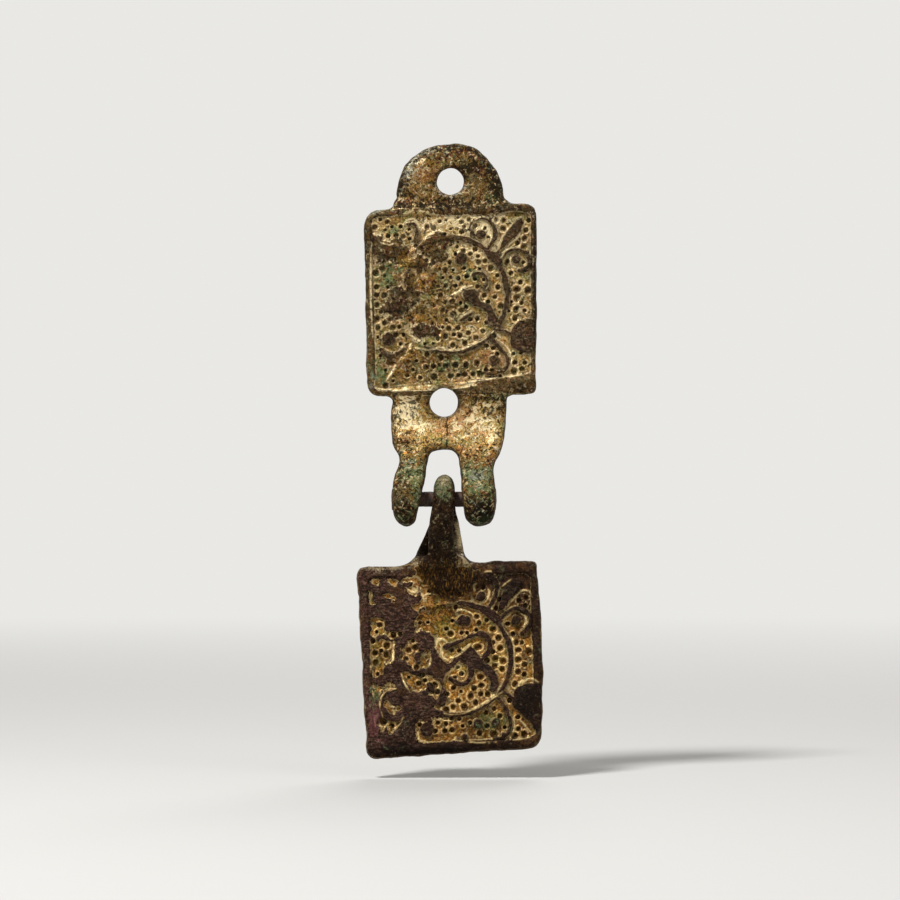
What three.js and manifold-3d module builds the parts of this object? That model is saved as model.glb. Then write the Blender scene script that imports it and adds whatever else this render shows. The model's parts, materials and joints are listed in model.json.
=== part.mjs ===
// Harness pendant of gilded copper alloy, hanging on an iron bar in the mount that
// fastens it to a strap. Millimetres, +Z up. The decorated faces look along -Y. The
// back of the mount lies in the plane Y = 0, and the origin is at the middle of the
// back of its square plate.

import * as THREE from 'three';
import { mergeVertices } from 'three/addons/utils/BufferGeometryUtils.js';
import Module from 'manifold-3d';

const wasm = await Module();
wasm.setup();

// Driving sizes of the mount
const mountPlateWidth = 22.6;
const mountPlateHeight = 25.2;
const mountPlateThickness = 2.2;
const mountCornerRadius = 1.8;
const lugRadius = 6.9;
const lugThickness = 1.9;
const lugCentreRise = 0.9;
const lugFootSpread = 0.5;
const upperHoleRadius = 1.75;
const upperHoleRise = 2.85;
const extensionWidth = 14.9;
const extensionThickness = 2.0;
const extensionLength = 7.7;
const lowerHoleRadius = 1.85;
const lowerHoleDrop = 0.7;

// The lower hole, the slot and the loop stand a little left of the plate's middle
const linkOffset = -0.85;

// Driving sizes of the forked arms and their bar
const barDrop = 13.3;
const barSetback = 3.6;
const barRadius = 1.0;
const armReach = 6.6;
const armCornerRadius = 1.9;
const armNeckInset = 0.65;
const slotWidth = 5.0;
const slotTaper = 0.3;
const slotLength = 10.0;
const slotCornerRadius = 1.2;
const shoulderDrop = 4.7;
const headRadius = 1.45;
const headThickness = 0.35;
const headClearance = 0.05;
const barHoleClearance = 0.12;

// Driving sizes of the pendant
const pendantPlateWidth = 23.8;
const pendantPlateHeight = 24.9;
const pendantPlateThickness = 2.2;
const pendantPlateDrop = 8.2;
const pendantPlateOffset = 0.2;
const pendantCornerRadius = 1.4;
const loopRadius = 3.3;
const loopClearance = 0.35;
const loopFrontWidth = 2.6;
const loopRearWidth = 6.8;
const loopFootLength = 3.3;
const loopOpeningLength = 7.2;
const loopOpeningEndRadius = 0.9;
const loopOpeningEndSetback = 0.6;
const leanAngle = THREE.MathUtils.degToRad(2.3);
const hangAngle = THREE.MathUtils.degToRad(6.6);

// Driving sizes of the ornament on both plates
const mountRingRadius = 7.5;
const pendantRingRadius = 7.25;
const mountRingRise = 0.7;
const pendantRingOffset = 0.4;
const ringBandWidth = 0.7;
const reliefHeight = 0.4;
const edgeBevel = 0.4;

// Overrun of every cut, and root of every piece that is joined to another
const overrun = 1.0;
const joinRoot = 0.3;

// Facets of round stretches
const roundSegments = 32;
const cornerSegments = 4;
const strokeSteps = 12;

// Places worked out from the driving sizes
const plateTop = mountPlateHeight / 2;
const plateBottom = -mountPlateHeight / 2;
const barHeight = plateBottom - barDrop;
const loopOpeningRadius = barRadius + loopClearance;
const pendantFront = loopRadius - pendantPlateThickness;

// Corners of the square plates as shares of half the width, half the height and the
// corner radius, in order round the plate
const mountCornerShares = [
  [-1.0, 0.93, 1.4],
  [1.0, 1.0, 1.1],
  [0.985, -0.97, 0.5],
  [-0.955, -1.0, 1.0],
];
const pendantCornerShares = [
  [-1.0, 0.985, 1.0],
  [0.955, 1.0, 0.6],
  [1.0, 0.0, 5.0],
  [0.935, -0.955, 1.3],
  [-0.96, -1.0, 1.0],
];

// Corners of the recessed fields as shares of the same three sizes
const mountFieldShares = [
  [-0.91, 0.86, 0.5],
  [0.93, 0.9, 0.5],
  [0.93, -0.76, 0.3],
  [-0.86, -0.91, 0.5],
];
const pendantFieldShares = [
  [-0.88, 0.87, 0.5],
  [0.89, 0.86, 0.5],
  [0.88, -0.85, 0.5],
  [-0.87, -0.87, 0.5],
];

// Ornament in shares of the ring's radius from the ring's centre, x to the right and
// y up: one corner's leaf and scrolls, and the beast that walks to the left
const cornerLeafShares = [
  [0.68, 0.66],
  [0.98, 0.88],
  [1.24, 1.13],
  [1.3, 1.3],
  [1.16, 1.24],
  [0.92, 1.0],
];
const scrollShares = [
  [0.7, 0.72],
  [0.76, 1.0],
  [0.76, 1.18],
  [0.66, 1.33],
  [0.52, 1.35],
  [0.4, 1.26],
];
const scrollBossShares = [0.53, 1.07];
const scrollBossRadiusShare = 0.09;
const scrollWidthShare = 0.09;
const beastShares = [
  [0.28, 0.2],
  [0.1, 0.09],
  [-0.08, -0.02],
  [-0.24, 0.1],
  [-0.32, 0.36],
  [-0.4, 0.55],
  [-0.56, 0.6],
  [-0.74, 0.5],
  [-0.86, 0.36],
  [-0.8, 0.26],
  [-0.64, 0.24],
  [-0.5, 0.08],
  [-0.5, -0.1],
  [-0.72, -0.12],
  [-0.88, -0.12],
  [-0.86, -0.24],
  [-0.62, -0.28],
  [-0.4, -0.28],
  [-0.33, -0.46],
  [-0.34, -0.66],
  [-0.46, -0.76],
  [-0.3, -0.84],
  [-0.2, -0.72],
  [-0.15, -0.5],
  [-0.08, -0.26],
  [0.06, -0.13],
  [0.34, -0.18],
  [0.56, -0.22],
  [0.64, -0.36],
  [0.62, -0.5],
  [0.74, -0.56],
  [0.8, -0.44],
  [0.74, -0.26],
  [0.6, -0.12],
  [0.47, 0.04],
];
const tailShares = [
  [0.42, 0.0],
  [0.55, 0.1],
  [0.57, 0.28],
  [0.44, 0.41],
  [0.26, 0.4],
  [0.08, 0.32],
  [-0.16, 0.22],
];
const tailWidthShares = [0.1, 0.1, 0.1, 0.09, 0.08, 0.12, 0.2];
const hindLegShares = [
  [0.3, -0.12],
  [0.29, -0.3],
  [0.18, -0.43],
  [0.04, -0.43],
  [-0.04, -0.38],
];
const hindLegWidthShare = 0.09;
const budShares = [0.19, 0.66];
const budRadiusShare = 0.12;

// Heights of the two bends of the loop's front, as shares of its drop from bar to foot
const loopBendShares = [0.4, 0.7];

// Front outlines of the loop's two strips as shares of half the strip's width and of
// the stretch from the bar's axis to the foot's end, left side down and right side up
const frontStripShares = [
  [-0.3, 0.29],
  [-0.78, 0.2],
  [-0.88, 0.1],
  [-1.1, -0.12],
  [-1.45, -0.3],
  [-1.7, -0.5],
  [-2.1, -0.66],
  [-3.2, -0.76],
  [-4.1, -0.86],
  [-3.7, -0.97],
  [-1.5, -1.02],
  [0.9, -1.02],
  [2.5, -0.95],
  [2.9, -0.86],
  [1.9, -0.76],
  [1.1, -0.68],
  [0.6, -0.5],
  [0.75, -0.25],
  [1.0, -0.06],
  [1.05, 0.1],
  [0.85, 0.2],
  [0.4, 0.29],
];
const rearStripShares = [
  [-0.3, 0.29],
  [-0.45, 0.0],
  [-0.72, -0.25],
  [-1.0, -0.5],
  [-1.3, -0.75],
  [-1.3, -0.95],
  [1.0, -0.95],
  [1.0, -0.75],
  [0.76, -0.68],
  [0.68, -0.5],
  [0.5, -0.22],
  [0.38, 0.0],
  [0.3, 0.29],
];

// Finish of the three pieces
const gildedAlloy = new THREE.MeshStandardMaterial({
  color: 0xb08a45,
  roughness: 0.55,
  metalness: 0.8,
});
const wornAlloy = new THREE.MeshStandardMaterial({
  color: 0x6b5034,
  roughness: 0.6,
  metalness: 0.7,
});
const corrodedIron = new THREE.MeshStandardMaterial({
  color: 0x3d2c22,
  roughness: 0.85,
  metalness: 0.4,
});

// A closed three.js geometry as a solid for the boolean steps
function solid(geometry) {
  geometry.deleteAttribute('normal');
  geometry.deleteAttribute('uv');
  const merged = mergeVertices(geometry);
  return new wasm.Manifold(new wasm.Mesh({
    numProp: 3,
    vertProperties: new Float32Array(merged.attributes.position.array),
    triVerts: new Uint32Array(merged.index.array),
  }));
}

// A finished solid as a named mesh
function namedMesh(name, shape, material) {
  const mesh = shape.getMesh();
  const geometry = new THREE.BufferGeometry();
  geometry.setAttribute('position', new THREE.BufferAttribute(mesh.vertProperties, 3));
  geometry.setIndex(new THREE.BufferAttribute(mesh.triVerts, 1));
  geometry.computeVertexNormals();
  const result = new THREE.Mesh(geometry, material);
  result.name = name;
  return result;
}

// A solid whose outline is drawn in X and Z, from the plane Y = backY forward by depth
function extrudeForward(outline, backY, depth, bevel = 0) {
  const geometry = new THREE.ExtrudeGeometry(outline, {
    depth: depth - 2 * bevel,
    curveSegments: cornerSegments,
    bevelEnabled: bevel > 0,
    bevelSize: bevel,
    bevelOffset: -bevel,
    bevelThickness: bevel,
    bevelSegments: 1,
  });
  geometry.rotateX(Math.PI / 2);
  geometry.translate(0, backY - bevel, 0);
  return solid(geometry);
}

// A solid whose outline is drawn in Y and Z, from the plane X = leftX to the right
function extrudeAcross(outline, leftX, width) {
  const geometry = new THREE.ExtrudeGeometry(outline, {
    depth: width,
    curveSegments: roundSegments,
    bevelEnabled: false,
  });
  const turn = new THREE.Matrix4().makeBasis(
    new THREE.Vector3(0, 1, 0),
    new THREE.Vector3(0, 0, 1),
    new THREE.Vector3(1, 0, 0),
  );
  geometry.applyMatrix4(turn);
  geometry.translate(leftX, 0, 0);
  return solid(geometry);
}

// A round bar or hole along X
function roundAlongX(radius, leftX, width, y, z) {
  const geometry = new THREE.CylinderGeometry(radius, radius, width, roundSegments);
  geometry.rotateZ(Math.PI / 2);
  geometry.translate(leftX + width / 2, y, z);
  return solid(geometry);
}

// A round hole through a plate, along Y
function rivetHole(radius, thickness, x, z) {
  const length = thickness + 2 * overrun;
  const geometry = new THREE.CylinderGeometry(radius, radius, length, roundSegments);
  geometry.translate(x, -thickness / 2, z);
  return solid(geometry);
}

// A closed outline through corners given as [x, z, radius]
function roundedOutline(corners) {
  const shape = new THREE.Shape();
  corners.forEach(([x, z, radius], index) => {
    const before = corners[(index + corners.length - 1) % corners.length];
    const after = corners[(index + 1) % corners.length];
    const corner = new THREE.Vector2(x, z);
    const towardsBefore = new THREE.Vector2(before[0] - x, before[1] - z).normalize();
    const towardsAfter = new THREE.Vector2(after[0] - x, after[1] - z).normalize();
    const start = corner.clone().addScaledVector(towardsBefore, radius);
    const end = corner.clone().addScaledVector(towardsAfter, radius);
    if (index === 0) {
      shape.moveTo(start.x, start.y);
    } else {
      shape.lineTo(start.x, start.y);
    }
    shape.quadraticCurveTo(corner.x, corner.y, end.x, end.y);
  });
  shape.closePath();
  return shape;
}

// Corners in shares of half a plate's width, half its height and its corner radius
function plateOutline(shares, width, height, radius, centreX, centreZ) {
  return roundedOutline(shares.map(([xShare, zShare, radiusShare]) => [
    centreX + xShare * width / 2,
    centreZ + zShare * height / 2,
    radiusShare * radius,
  ]));
}

// A smooth closed outline through points given as [x, z]
function smoothOutline(points) {
  const shape = new THREE.Shape();
  const corners = points.map(([x, z]) => new THREE.Vector3(x, z, 0));
  const curve = new THREE.CatmullRomCurve3(corners, true, 'centripetal');
  const places = curve.getPoints(2 * points.length);
  places.pop();
  places.forEach((place, index) => {
    if (index === 0) {
      shape.moveTo(place.x, place.y);
    } else {
      shape.lineTo(place.x, place.y);
    }
  });
  shape.closePath();
  return shape;
}

// The outline of a curved stroke of changing width
function strokeOutline(points, widths) {
  const corners = points.map(([x, z]) => new THREE.Vector3(x, z, 0));
  const curve = new THREE.CatmullRomCurve3(corners, false, 'centripetal');
  const left = [];
  const right = [];
  for (let step = 0; step <= strokeSteps; step += 1) {
    const along = step / strokeSteps;
    const place = curve.getPoint(along);
    const heading = curve.getTangent(along);
    const widthPlace = along * (widths.length - 1);
    const widthIndex = Math.min(Math.floor(widthPlace), widths.length - 2);
    const blend = widthPlace - widthIndex;
    const width = THREE.MathUtils.lerp(widths[widthIndex], widths[widthIndex + 1], blend);
    const side = new THREE.Vector2(-heading.y, heading.x).multiplyScalar(width / 2);
    left.push(new THREE.Vector2(place.x + side.x, place.y + side.y));
    right.unshift(new THREE.Vector2(place.x - side.x, place.y - side.y));
  }
  return new THREE.Shape([...left, ...right]);
}

// A round outline, with a hole where innerRadius is given
function ringOutline(radius, innerRadius = 0) {
  const shape = new THREE.Shape();
  shape.absarc(0, 0, radius, 0, 2 * Math.PI);
  if (innerRadius > 0) {
    const hole = new THREE.Path();
    hole.absarc(0, 0, innerRadius, 0, 2 * Math.PI, true);
    shape.holes.push(hole);
  }
  return shape;
}

// One raised figure of the relief, standing on the recessed field
function raised(outline) {
  const geometry = new THREE.ExtrudeGeometry(outline, {
    depth: reliefHeight + joinRoot,
    curveSegments: roundSegments / 2,
    bevelEnabled: false,
  });
  geometry.rotateX(Math.PI / 2);
  return solid(geometry);
}

// A boss, one round figure of the relief, at a place given in shares
function raisedBoss([xShare, zShare], radiusShare, ringRadius) {
  const boss = raised(ringOutline(radiusShare * ringRadius));
  return boss.translate([xShare * ringRadius, 0, zShare * ringRadius]);
}

// Leaf, two scrolls and their bosses in the upper right corner
function cornerOrnament(ringRadius) {
  const scaled = (shares) => shares.map(([x, z]) => [x * ringRadius, z * ringRadius]);
  const swapped = (shares) => shares.map(([x, z]) => [z, x]);
  const width = scrollWidthShare * ringRadius;
  const [bossX, bossZ] = scrollBossShares;
  return wasm.Manifold.union([
    raised(smoothOutline(scaled(cornerLeafShares))),
    raised(strokeOutline(scaled(scrollShares), [width, width, width])),
    raised(strokeOutline(scaled(swapped(scrollShares)), [width, width, width])),
    raisedBoss([bossX, bossZ], scrollBossRadiusShare, ringRadius),
    raisedBoss([bossZ, bossX], scrollBossRadiusShare, ringRadius),
  ]);
}

// The ring, the beast inside it and the four corner ornaments
function relief(ringRadius) {
  const scaled = (shares) => shares.map(([x, z]) => [x * ringRadius, z * ringRadius]);
  const legWidth = hindLegWidthShare * ringRadius;
  const tailWidths = tailWidthShares.map((share) => share * ringRadius);
  const figures = [
    raised(ringOutline(ringRadius + ringBandWidth / 2, ringRadius - ringBandWidth / 2)),
    raised(smoothOutline(scaled(beastShares))),
    raised(strokeOutline(scaled(tailShares), tailWidths)),
    raised(strokeOutline(scaled(hindLegShares), [legWidth, legWidth, legWidth])),
    raisedBoss(budShares, budRadiusShare, ringRadius),
  ];
  for (const quarterTurn of [0, 90, 180, 270]) {
    figures.push(cornerOrnament(ringRadius).rotate([0, quarterTurn, 0]));
  }
  return wasm.Manifold.union(figures);
}

// A square plate with its rim, recessed field and relief, its back at backY
function decoratedPlate(plate) {
  const body = extrudeForward(plate.outline, plate.backY, plate.thickness, edgeBevel);
  const fieldY = plate.backY - plate.thickness + reliefHeight;
  const pocket = extrudeForward(plate.field, fieldY, reliefHeight + overrun);
  const ornament = relief(plate.ringRadius).translate([plate.ringX, fieldY + joinRoot, plate.ringZ]);
  const inside = extrudeForward(plate.field, fieldY + joinRoot, reliefHeight + joinRoot);
  return body.subtract(pocket).add(ornament.intersect(inside));
}

// The square plate of the mount
function mountPlate() {
  return decoratedPlate({
    outline: plateOutline(
      mountCornerShares, mountPlateWidth, mountPlateHeight, mountCornerRadius, 0, 0,
    ),
    field: plateOutline(
      mountFieldShares, mountPlateWidth, mountPlateHeight, mountCornerRadius, 0, 0,
    ),
    backY: 0,
    thickness: mountPlateThickness,
    ringRadius: mountRingRadius,
    ringX: 0,
    ringZ: mountRingRise,
  });
}

// The round-headed lug on top, which one rivet passes through
function lug() {
  const centreZ = plateTop + lugCentreRise;
  const footZ = plateTop - mountCornerRadius;
  const outline = new THREE.Shape();
  outline.moveTo(-lugRadius - lugFootSpread, footZ);
  outline.lineTo(lugRadius + lugFootSpread, footZ);
  outline.lineTo(lugRadius + lugFootSpread, plateTop);
  outline.lineTo(lugRadius, centreZ);
  for (let step = 1; step < roundSegments; step += 1) {
    const angle = Math.PI * step / roundSegments;
    outline.lineTo(lugRadius * Math.cos(angle), centreZ + lugRadius * Math.sin(angle));
  }
  outline.lineTo(-lugRadius, centreZ);
  outline.lineTo(-lugRadius - lugFootSpread, plateTop);
  outline.closePath();
  return extrudeForward(outline, 0, lugThickness, edgeBevel);
}

// Front view of the lower extension and the two arms on either side of the slot
function forkOutline() {
  const armEnd = barHeight - barSetback;
  const neckHeight = plateBottom - extensionLength;
  const slotTop = armEnd + slotLength;
  const slotLeft = linkOffset - slotWidth / 2;
  const slotRight = linkOffset + slotWidth / 2;
  const outerLeft = linkOffset - armReach;
  const outerRight = linkOffset + armReach;
  return roundedOutline([
    [-extensionWidth / 2, plateBottom + edgeBevel + joinRoot, joinRoot],
    [-extensionWidth / 2 - slotTaper, neckHeight, armCornerRadius],
    [outerLeft + armNeckInset, neckHeight - armNeckInset, armNeckInset],
    [outerLeft, barHeight, barRadius],
    [outerLeft + slotTaper, armEnd, armCornerRadius],
    [slotLeft - slotTaper, armEnd, slotCornerRadius],
    [slotLeft + slotTaper, slotTop, slotCornerRadius],
    [slotRight - slotTaper, slotTop, slotCornerRadius],
    [slotRight + slotTaper, armEnd, slotCornerRadius],
    [outerRight - slotTaper, armEnd, armCornerRadius],
    [outerRight, barHeight, barRadius],
    [outerRight, neckHeight - armNeckInset, armNeckInset],
    [extensionWidth / 2, neckHeight, armCornerRadius],
    [extensionWidth / 2, plateBottom + edgeBevel + joinRoot, joinRoot],
  ]);
}

// Side view of the extension and arms: the front slopes forward from the shoulder and
// runs into a round end about the bar
function forkProfile() {
  const shoulderHeight = plateBottom - shoulderDrop;
  const rise = shoulderHeight - barHeight;
  const setback = barSetback - extensionThickness;
  const distance = Math.hypot(rise, setback);
  const tangentAngle = Math.atan2(rise, setback) + Math.acos(barSetback / distance);
  const topHeight = plateBottom + edgeBevel + joinRoot;
  const outline = new THREE.Shape();
  outline.moveTo(0, topHeight);
  outline.lineTo(-extensionThickness, topHeight);
  outline.lineTo(-extensionThickness, shoulderHeight);
  outline.absarc(-barSetback, barHeight, barSetback, tangentAngle, 2 * Math.PI);
  outline.closePath();
  return outline;
}

// The extension and forked arms, with the bar's holes
function fork() {
  const reach = extensionWidth + overrun;
  const side = extrudeAcross(forkProfile(), -reach / 2 - overrun, reach + 2 * overrun);
  const front = extrudeForward(forkOutline(), overrun, 2 * barSetback + 2 * overrun);
  const holeRadius = barRadius + barHoleClearance;
  const barHole = roundAlongX(holeRadius, -reach, 2 * reach, -barSetback, barHeight);
  return side.intersect(front).subtract(barHole);
}

// The mount: lug, plate, extension and arms in one casting, with two rivet holes
function suspensionMount() {
  const upperHole = rivetHole(upperHoleRadius, mountPlateThickness, 0, plateTop + upperHoleRise);
  const lowerHole = rivetHole(
    lowerHoleRadius, mountPlateThickness, linkOffset, plateBottom - lowerHoleDrop,
  );
  return mountPlate().add(lug()).add(fork()).subtract(upperHole).subtract(lowerHole);
}

// The bar through the arms, with a peened head outside each
function axisBar() {
  const length = 2 * (armReach + headClearance + headThickness);
  const shaft = roundAlongX(barRadius, -length / 2, length, 0, 0);
  const leftHead = roundAlongX(headRadius, -length / 2, headThickness, 0, 0);
  const rightHead = roundAlongX(headRadius, length / 2 - headThickness, headThickness, 0, 0);
  return shaft.add(leftHead).add(rightHead);
}

// The pear-shaped opening of the loop, round the bar at its upper end
function loopOpening() {
  const endHeight = loopOpeningEndRadius - loopOpeningLength;
  const distance = Math.hypot(loopOpeningEndSetback, endHeight);
  const heading = Math.atan2(endHeight, loopOpeningEndSetback);
  const spread = Math.acos((loopOpeningRadius - loopOpeningEndRadius) / distance);
  const rear = heading + spread;
  const front = heading - spread + 2 * Math.PI;
  const opening = new THREE.Shape();
  opening.absarc(0, 0, loopOpeningRadius, rear, front);
  opening.absarc(
    loopOpeningEndSetback, endHeight, loopOpeningEndRadius, front, rear + 2 * Math.PI,
  );
  opening.closePath();
  return opening;
}

// Side view of the loop, from the plate's back over the bar and down onto its face
function loopProfile() {
  const reach = pendantPlateDrop + loopFootLength;
  const rootHeight = -pendantPlateDrop - pendantPlateThickness;
  const outline = new THREE.Shape();
  outline.moveTo(loopRadius, rootHeight);
  outline.lineTo(loopRadius, 0);
  outline.absarc(0, 0, loopRadius, 0, Math.PI);
  outline.bezierCurveTo(
    -loopRadius, -loopBendShares[0] * reach,
    pendantFront - barRadius, -loopBendShares[1] * reach,
    pendantFront, -reach,
  );
  outline.lineTo(pendantFront + joinRoot, -reach);
  outline.closePath();
  return outline;
}

// One strip of the loop, its front view given in shares of its half width and reach
function loopStrip(shares, width, backY, depth) {
  const reach = pendantPlateDrop + loopFootLength;
  const points = shares.map(([xShare, zShare]) => [xShare * width / 2, zShare * reach]);
  return extrudeForward(smoothOutline(points), backY, depth);
}

// The loop: a narrow strip in front that flares onto the plate, a wide one behind
function loop() {
  const span = loopRearWidth + loopFrontWidth + 2 * overrun;
  const ring = extrudeAcross(loopProfile(), -span / 2, span);
  const opening = extrudeAcross(loopOpening(), -span, 2 * span);
  const depth = loopRadius + overrun;
  const front = loopStrip(frontStripShares, loopFrontWidth, pendantFront + joinRoot, depth + pendantFront);
  const rear = loopStrip(rearStripShares, loopRearWidth, depth, depth);
  return ring.intersect(front.add(rear)).subtract(opening);
}

// The pendant in its own frame, with the bar's axis through the origin
function pendant() {
  const centreX = pendantPlateOffset;
  const centreZ = -pendantPlateDrop - pendantPlateHeight / 2;
  const plate = decoratedPlate({
    outline: plateOutline(
      pendantCornerShares, pendantPlateWidth, pendantPlateHeight, pendantCornerRadius,
      centreX, centreZ,
    ),
    field: plateOutline(
      pendantFieldShares, pendantPlateWidth, pendantPlateHeight, pendantCornerRadius,
      centreX, centreZ,
    ),
    backY: loopRadius,
    thickness: pendantPlateThickness,
    ringRadius: pendantRingRadius,
    ringX: centreX + pendantRingOffset,
    ringZ: centreZ,
  });
  return plate.add(loop());
}

const harnessPendant = new THREE.Group();
harnessPendant.add(namedMesh('suspension_mount', suspensionMount(), gildedAlloy));

// The bar and the pendant share the bar's axis
const barGroup = new THREE.Group();
barGroup.position.set(linkOffset, -barSetback, barHeight);
barGroup.add(namedMesh('axis_bar', axisBar(), corrodedIron));
const pendantMesh = namedMesh('pendant', pendant(), wornAlloy);
pendantMesh.rotation.set(-hangAngle, -leanAngle, 0);
barGroup.add(pendantMesh);
harnessPendant.add(barGroup);

export default harnessPendant;
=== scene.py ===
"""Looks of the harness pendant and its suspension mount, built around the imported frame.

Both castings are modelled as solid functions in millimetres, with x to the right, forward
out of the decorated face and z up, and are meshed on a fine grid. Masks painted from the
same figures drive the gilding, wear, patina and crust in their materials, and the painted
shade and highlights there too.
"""

import json
import math

import bpy
import numpy as np
from mathutils import Matrix, Vector


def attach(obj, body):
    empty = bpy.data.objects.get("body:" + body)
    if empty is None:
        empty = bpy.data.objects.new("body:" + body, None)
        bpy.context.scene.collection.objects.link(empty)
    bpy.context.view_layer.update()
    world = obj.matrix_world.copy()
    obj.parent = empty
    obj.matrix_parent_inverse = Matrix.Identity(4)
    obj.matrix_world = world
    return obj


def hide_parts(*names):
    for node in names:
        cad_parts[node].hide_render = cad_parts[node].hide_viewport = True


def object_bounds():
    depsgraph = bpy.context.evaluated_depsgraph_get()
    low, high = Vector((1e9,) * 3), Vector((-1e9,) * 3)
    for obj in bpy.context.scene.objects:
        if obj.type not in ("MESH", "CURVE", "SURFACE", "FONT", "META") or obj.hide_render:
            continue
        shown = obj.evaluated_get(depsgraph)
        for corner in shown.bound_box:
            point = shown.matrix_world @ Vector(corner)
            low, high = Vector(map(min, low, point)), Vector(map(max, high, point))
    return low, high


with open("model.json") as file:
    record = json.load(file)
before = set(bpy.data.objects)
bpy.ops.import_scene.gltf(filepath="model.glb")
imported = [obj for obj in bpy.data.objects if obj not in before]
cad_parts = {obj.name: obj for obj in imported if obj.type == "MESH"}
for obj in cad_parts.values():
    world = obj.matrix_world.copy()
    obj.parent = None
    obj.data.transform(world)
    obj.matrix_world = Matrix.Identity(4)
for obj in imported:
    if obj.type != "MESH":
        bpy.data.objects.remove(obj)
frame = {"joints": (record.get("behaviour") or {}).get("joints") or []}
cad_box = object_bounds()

# Metres in a millimetre. All other lengths are in millimetres unless their comment says metres
MM = 0.001

# Grid step of the solids and empty space around them, the share of a casting's faces that is kept
# when its back is thinned, and how squarely a vertex there faces backwards
STEP = 0.11
GRID_MARGIN = 0.9
LOOP_MARGIN = 0.8
BAR_MARGIN = 0.4
MOUNT_SPAN_X = (-12.4, 12.4)
MOUNT_SPAN_FORWARD = (-0.8, 8.2)
PENDANT_SPAN_X = (-13.0, 13.2)
THINNED_SHARE = 0.5
FLAT_BACK = 0.97

# The photograph's frame: millimetres in a pixel, the pixel of the frame's origin, and the
# camera, its distance and near clip in metres
PIXEL = 0.13
ORIGIN_PIXEL = (450.4, 300.0)
IMAGE_PIXELS = 900
CAMERA_DISTANCE = 0.6
SENSOR = 36
NEAR_CLIP = 0.01

# Mount
MOUNT_PLATE = (22.6, 25.2)
MOUNT_CORNER_RADIUS = 1.8
PLATE_THICKNESS = 2.2
LUG_RADIUS = 6.9
LUG_THICKNESS = 1.9
LUG_CENTRE_RISE = 0.9
LUG_FOOT_SPREAD = 0.5
LUG_ROOT = 2.0
LUG_GROWTH = 0.08
LUG_EDGE_FALL = 0.35
LUG_EDGE_SPAN = (-1.5, -0.4)
UPPER_HOLE_RADIUS = 1.75
UPPER_HOLE_RISE = 2.85
EXTENSION_THICKNESS = 2.0
SHOULDER_DROP = 4.7
BEND_REACH = 2.6
FORK_ROOT = 0.7
LOWER_HOLE_RADIUS = 1.85
LOWER_HOLE_DROP = 0.7
LOWER_HOLE_FLARE = 0.5
FLARE_TURN_SPAN = (0.2, 1.4)
FLARE_DEPTH_SPAN = (0.9, 2.3)
LINK_OFFSET = -0.85

# Forked arms and bar
BAR_DROP = 13.3
BAR_SETBACK = 3.6
BAR_RADIUS = 1.0
BAR_HOLE_CLEARANCE = 0.12
ARM_REACH = 6.6
HEAD_RADIUS = 1.5
HEAD_INSET = 0.05
HEAD_THICKNESS = 0.18
HEAD_DEPTH = 0.6
HEAD_FALL_SHARE = 0.5

# Pendant, measured from the bar's axis
PENDANT_PLATE = (23.8, 24.9)
PENDANT_CORNER_RADIUS = 1.4
PENDANT_DROP = 8.2
PENDANT_OFFSET = 0.2
LOOP_RADIUS = 3.3
LOOP_CLEARANCE = 0.35
LOOP_FOOT_LENGTH = 3.3
LOOP_BEND_SHARES = (0.4, 0.7)
LOOP_BEND_START_SHARE = 0.08
LOOP_ROOT = 0.3
LOOP_STRIP_SPAN = (-1.6, 0.4)
LOOP_OPENING_LENGTH = 7.2
LOOP_OPENING_END = 0.9
LOOP_OPENING_SETBACK = 0.6
LEAN = math.radians(2.3)
HANG = math.radians(6.6)

# How far outlines run on behind the back that cuts them off, and the distance that stands for
# far from every outline
BACK_OVERRUN = 1.5
FAR_OFF = 9.0

# Points on the round stretches of the side views, and degrees between points of a ring's arc
FORK_ARC_POINTS = 28
FORK_BEND_POINTS = 9
LOOP_TOP_POINTS = 25
LOOP_FRONT_POINTS = 14
OPENING_POINTS = (24, 16)
ARC_DEGREES = 8
LEAST_ARC_POINTS = 3

# Corners of the plates and of their recessed fields, clockwise from the upper left: shares of
# half the plate's width, of half its height and of the corner radius
FIELD_CORNER_RADIUS = 1.0
MOUNT_CORNER_SHARES = [(-1.0, 0.93, 1.4), (1.0, 1.0, 1.1), (0.985, -0.97, 0.5), (-0.955, -1.0, 1.0)]
MOUNT_FIELD_SHARES = [(-0.91, 0.86, 1.0), (0.93, 0.9, 1.0), (0.93, -0.76, 0.6), (-0.86, -0.91, 1.0)]
PENDANT_CORNER_SHARES = [
    (-1.0, 1.0, 1.0), (0.975, 1.0, 0.6), (1.0, 0.0, 5.0), (0.935, -0.955, 1.3), (-0.96, -1.0, 1.0),
]
PENDANT_FIELD_SHARES = [(-0.88, 0.87, 1.0), (0.89, 0.86, 1.0), (0.88, -0.85, 1.0), (-0.87, -0.87, 1.0)]

# Rounding where surfaces meet
MOUNT_ROUNDING = {
    "plate": 1.0, "lug": 1.1, "fork": 1.3, "join": 1.1, "back": 0.5, "upper_hole": 0.7,
    "lower_hole": 0.6, "bar_hole": 0.4,
}
PENDANT_ROUNDING = {"plate": 0.9, "loop": 1.2, "join": 1.2, "opening": 0.7, "back": 0.5}
BAR_ROUNDING = {"shaft": 0.2, "head": 0.15}

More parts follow.
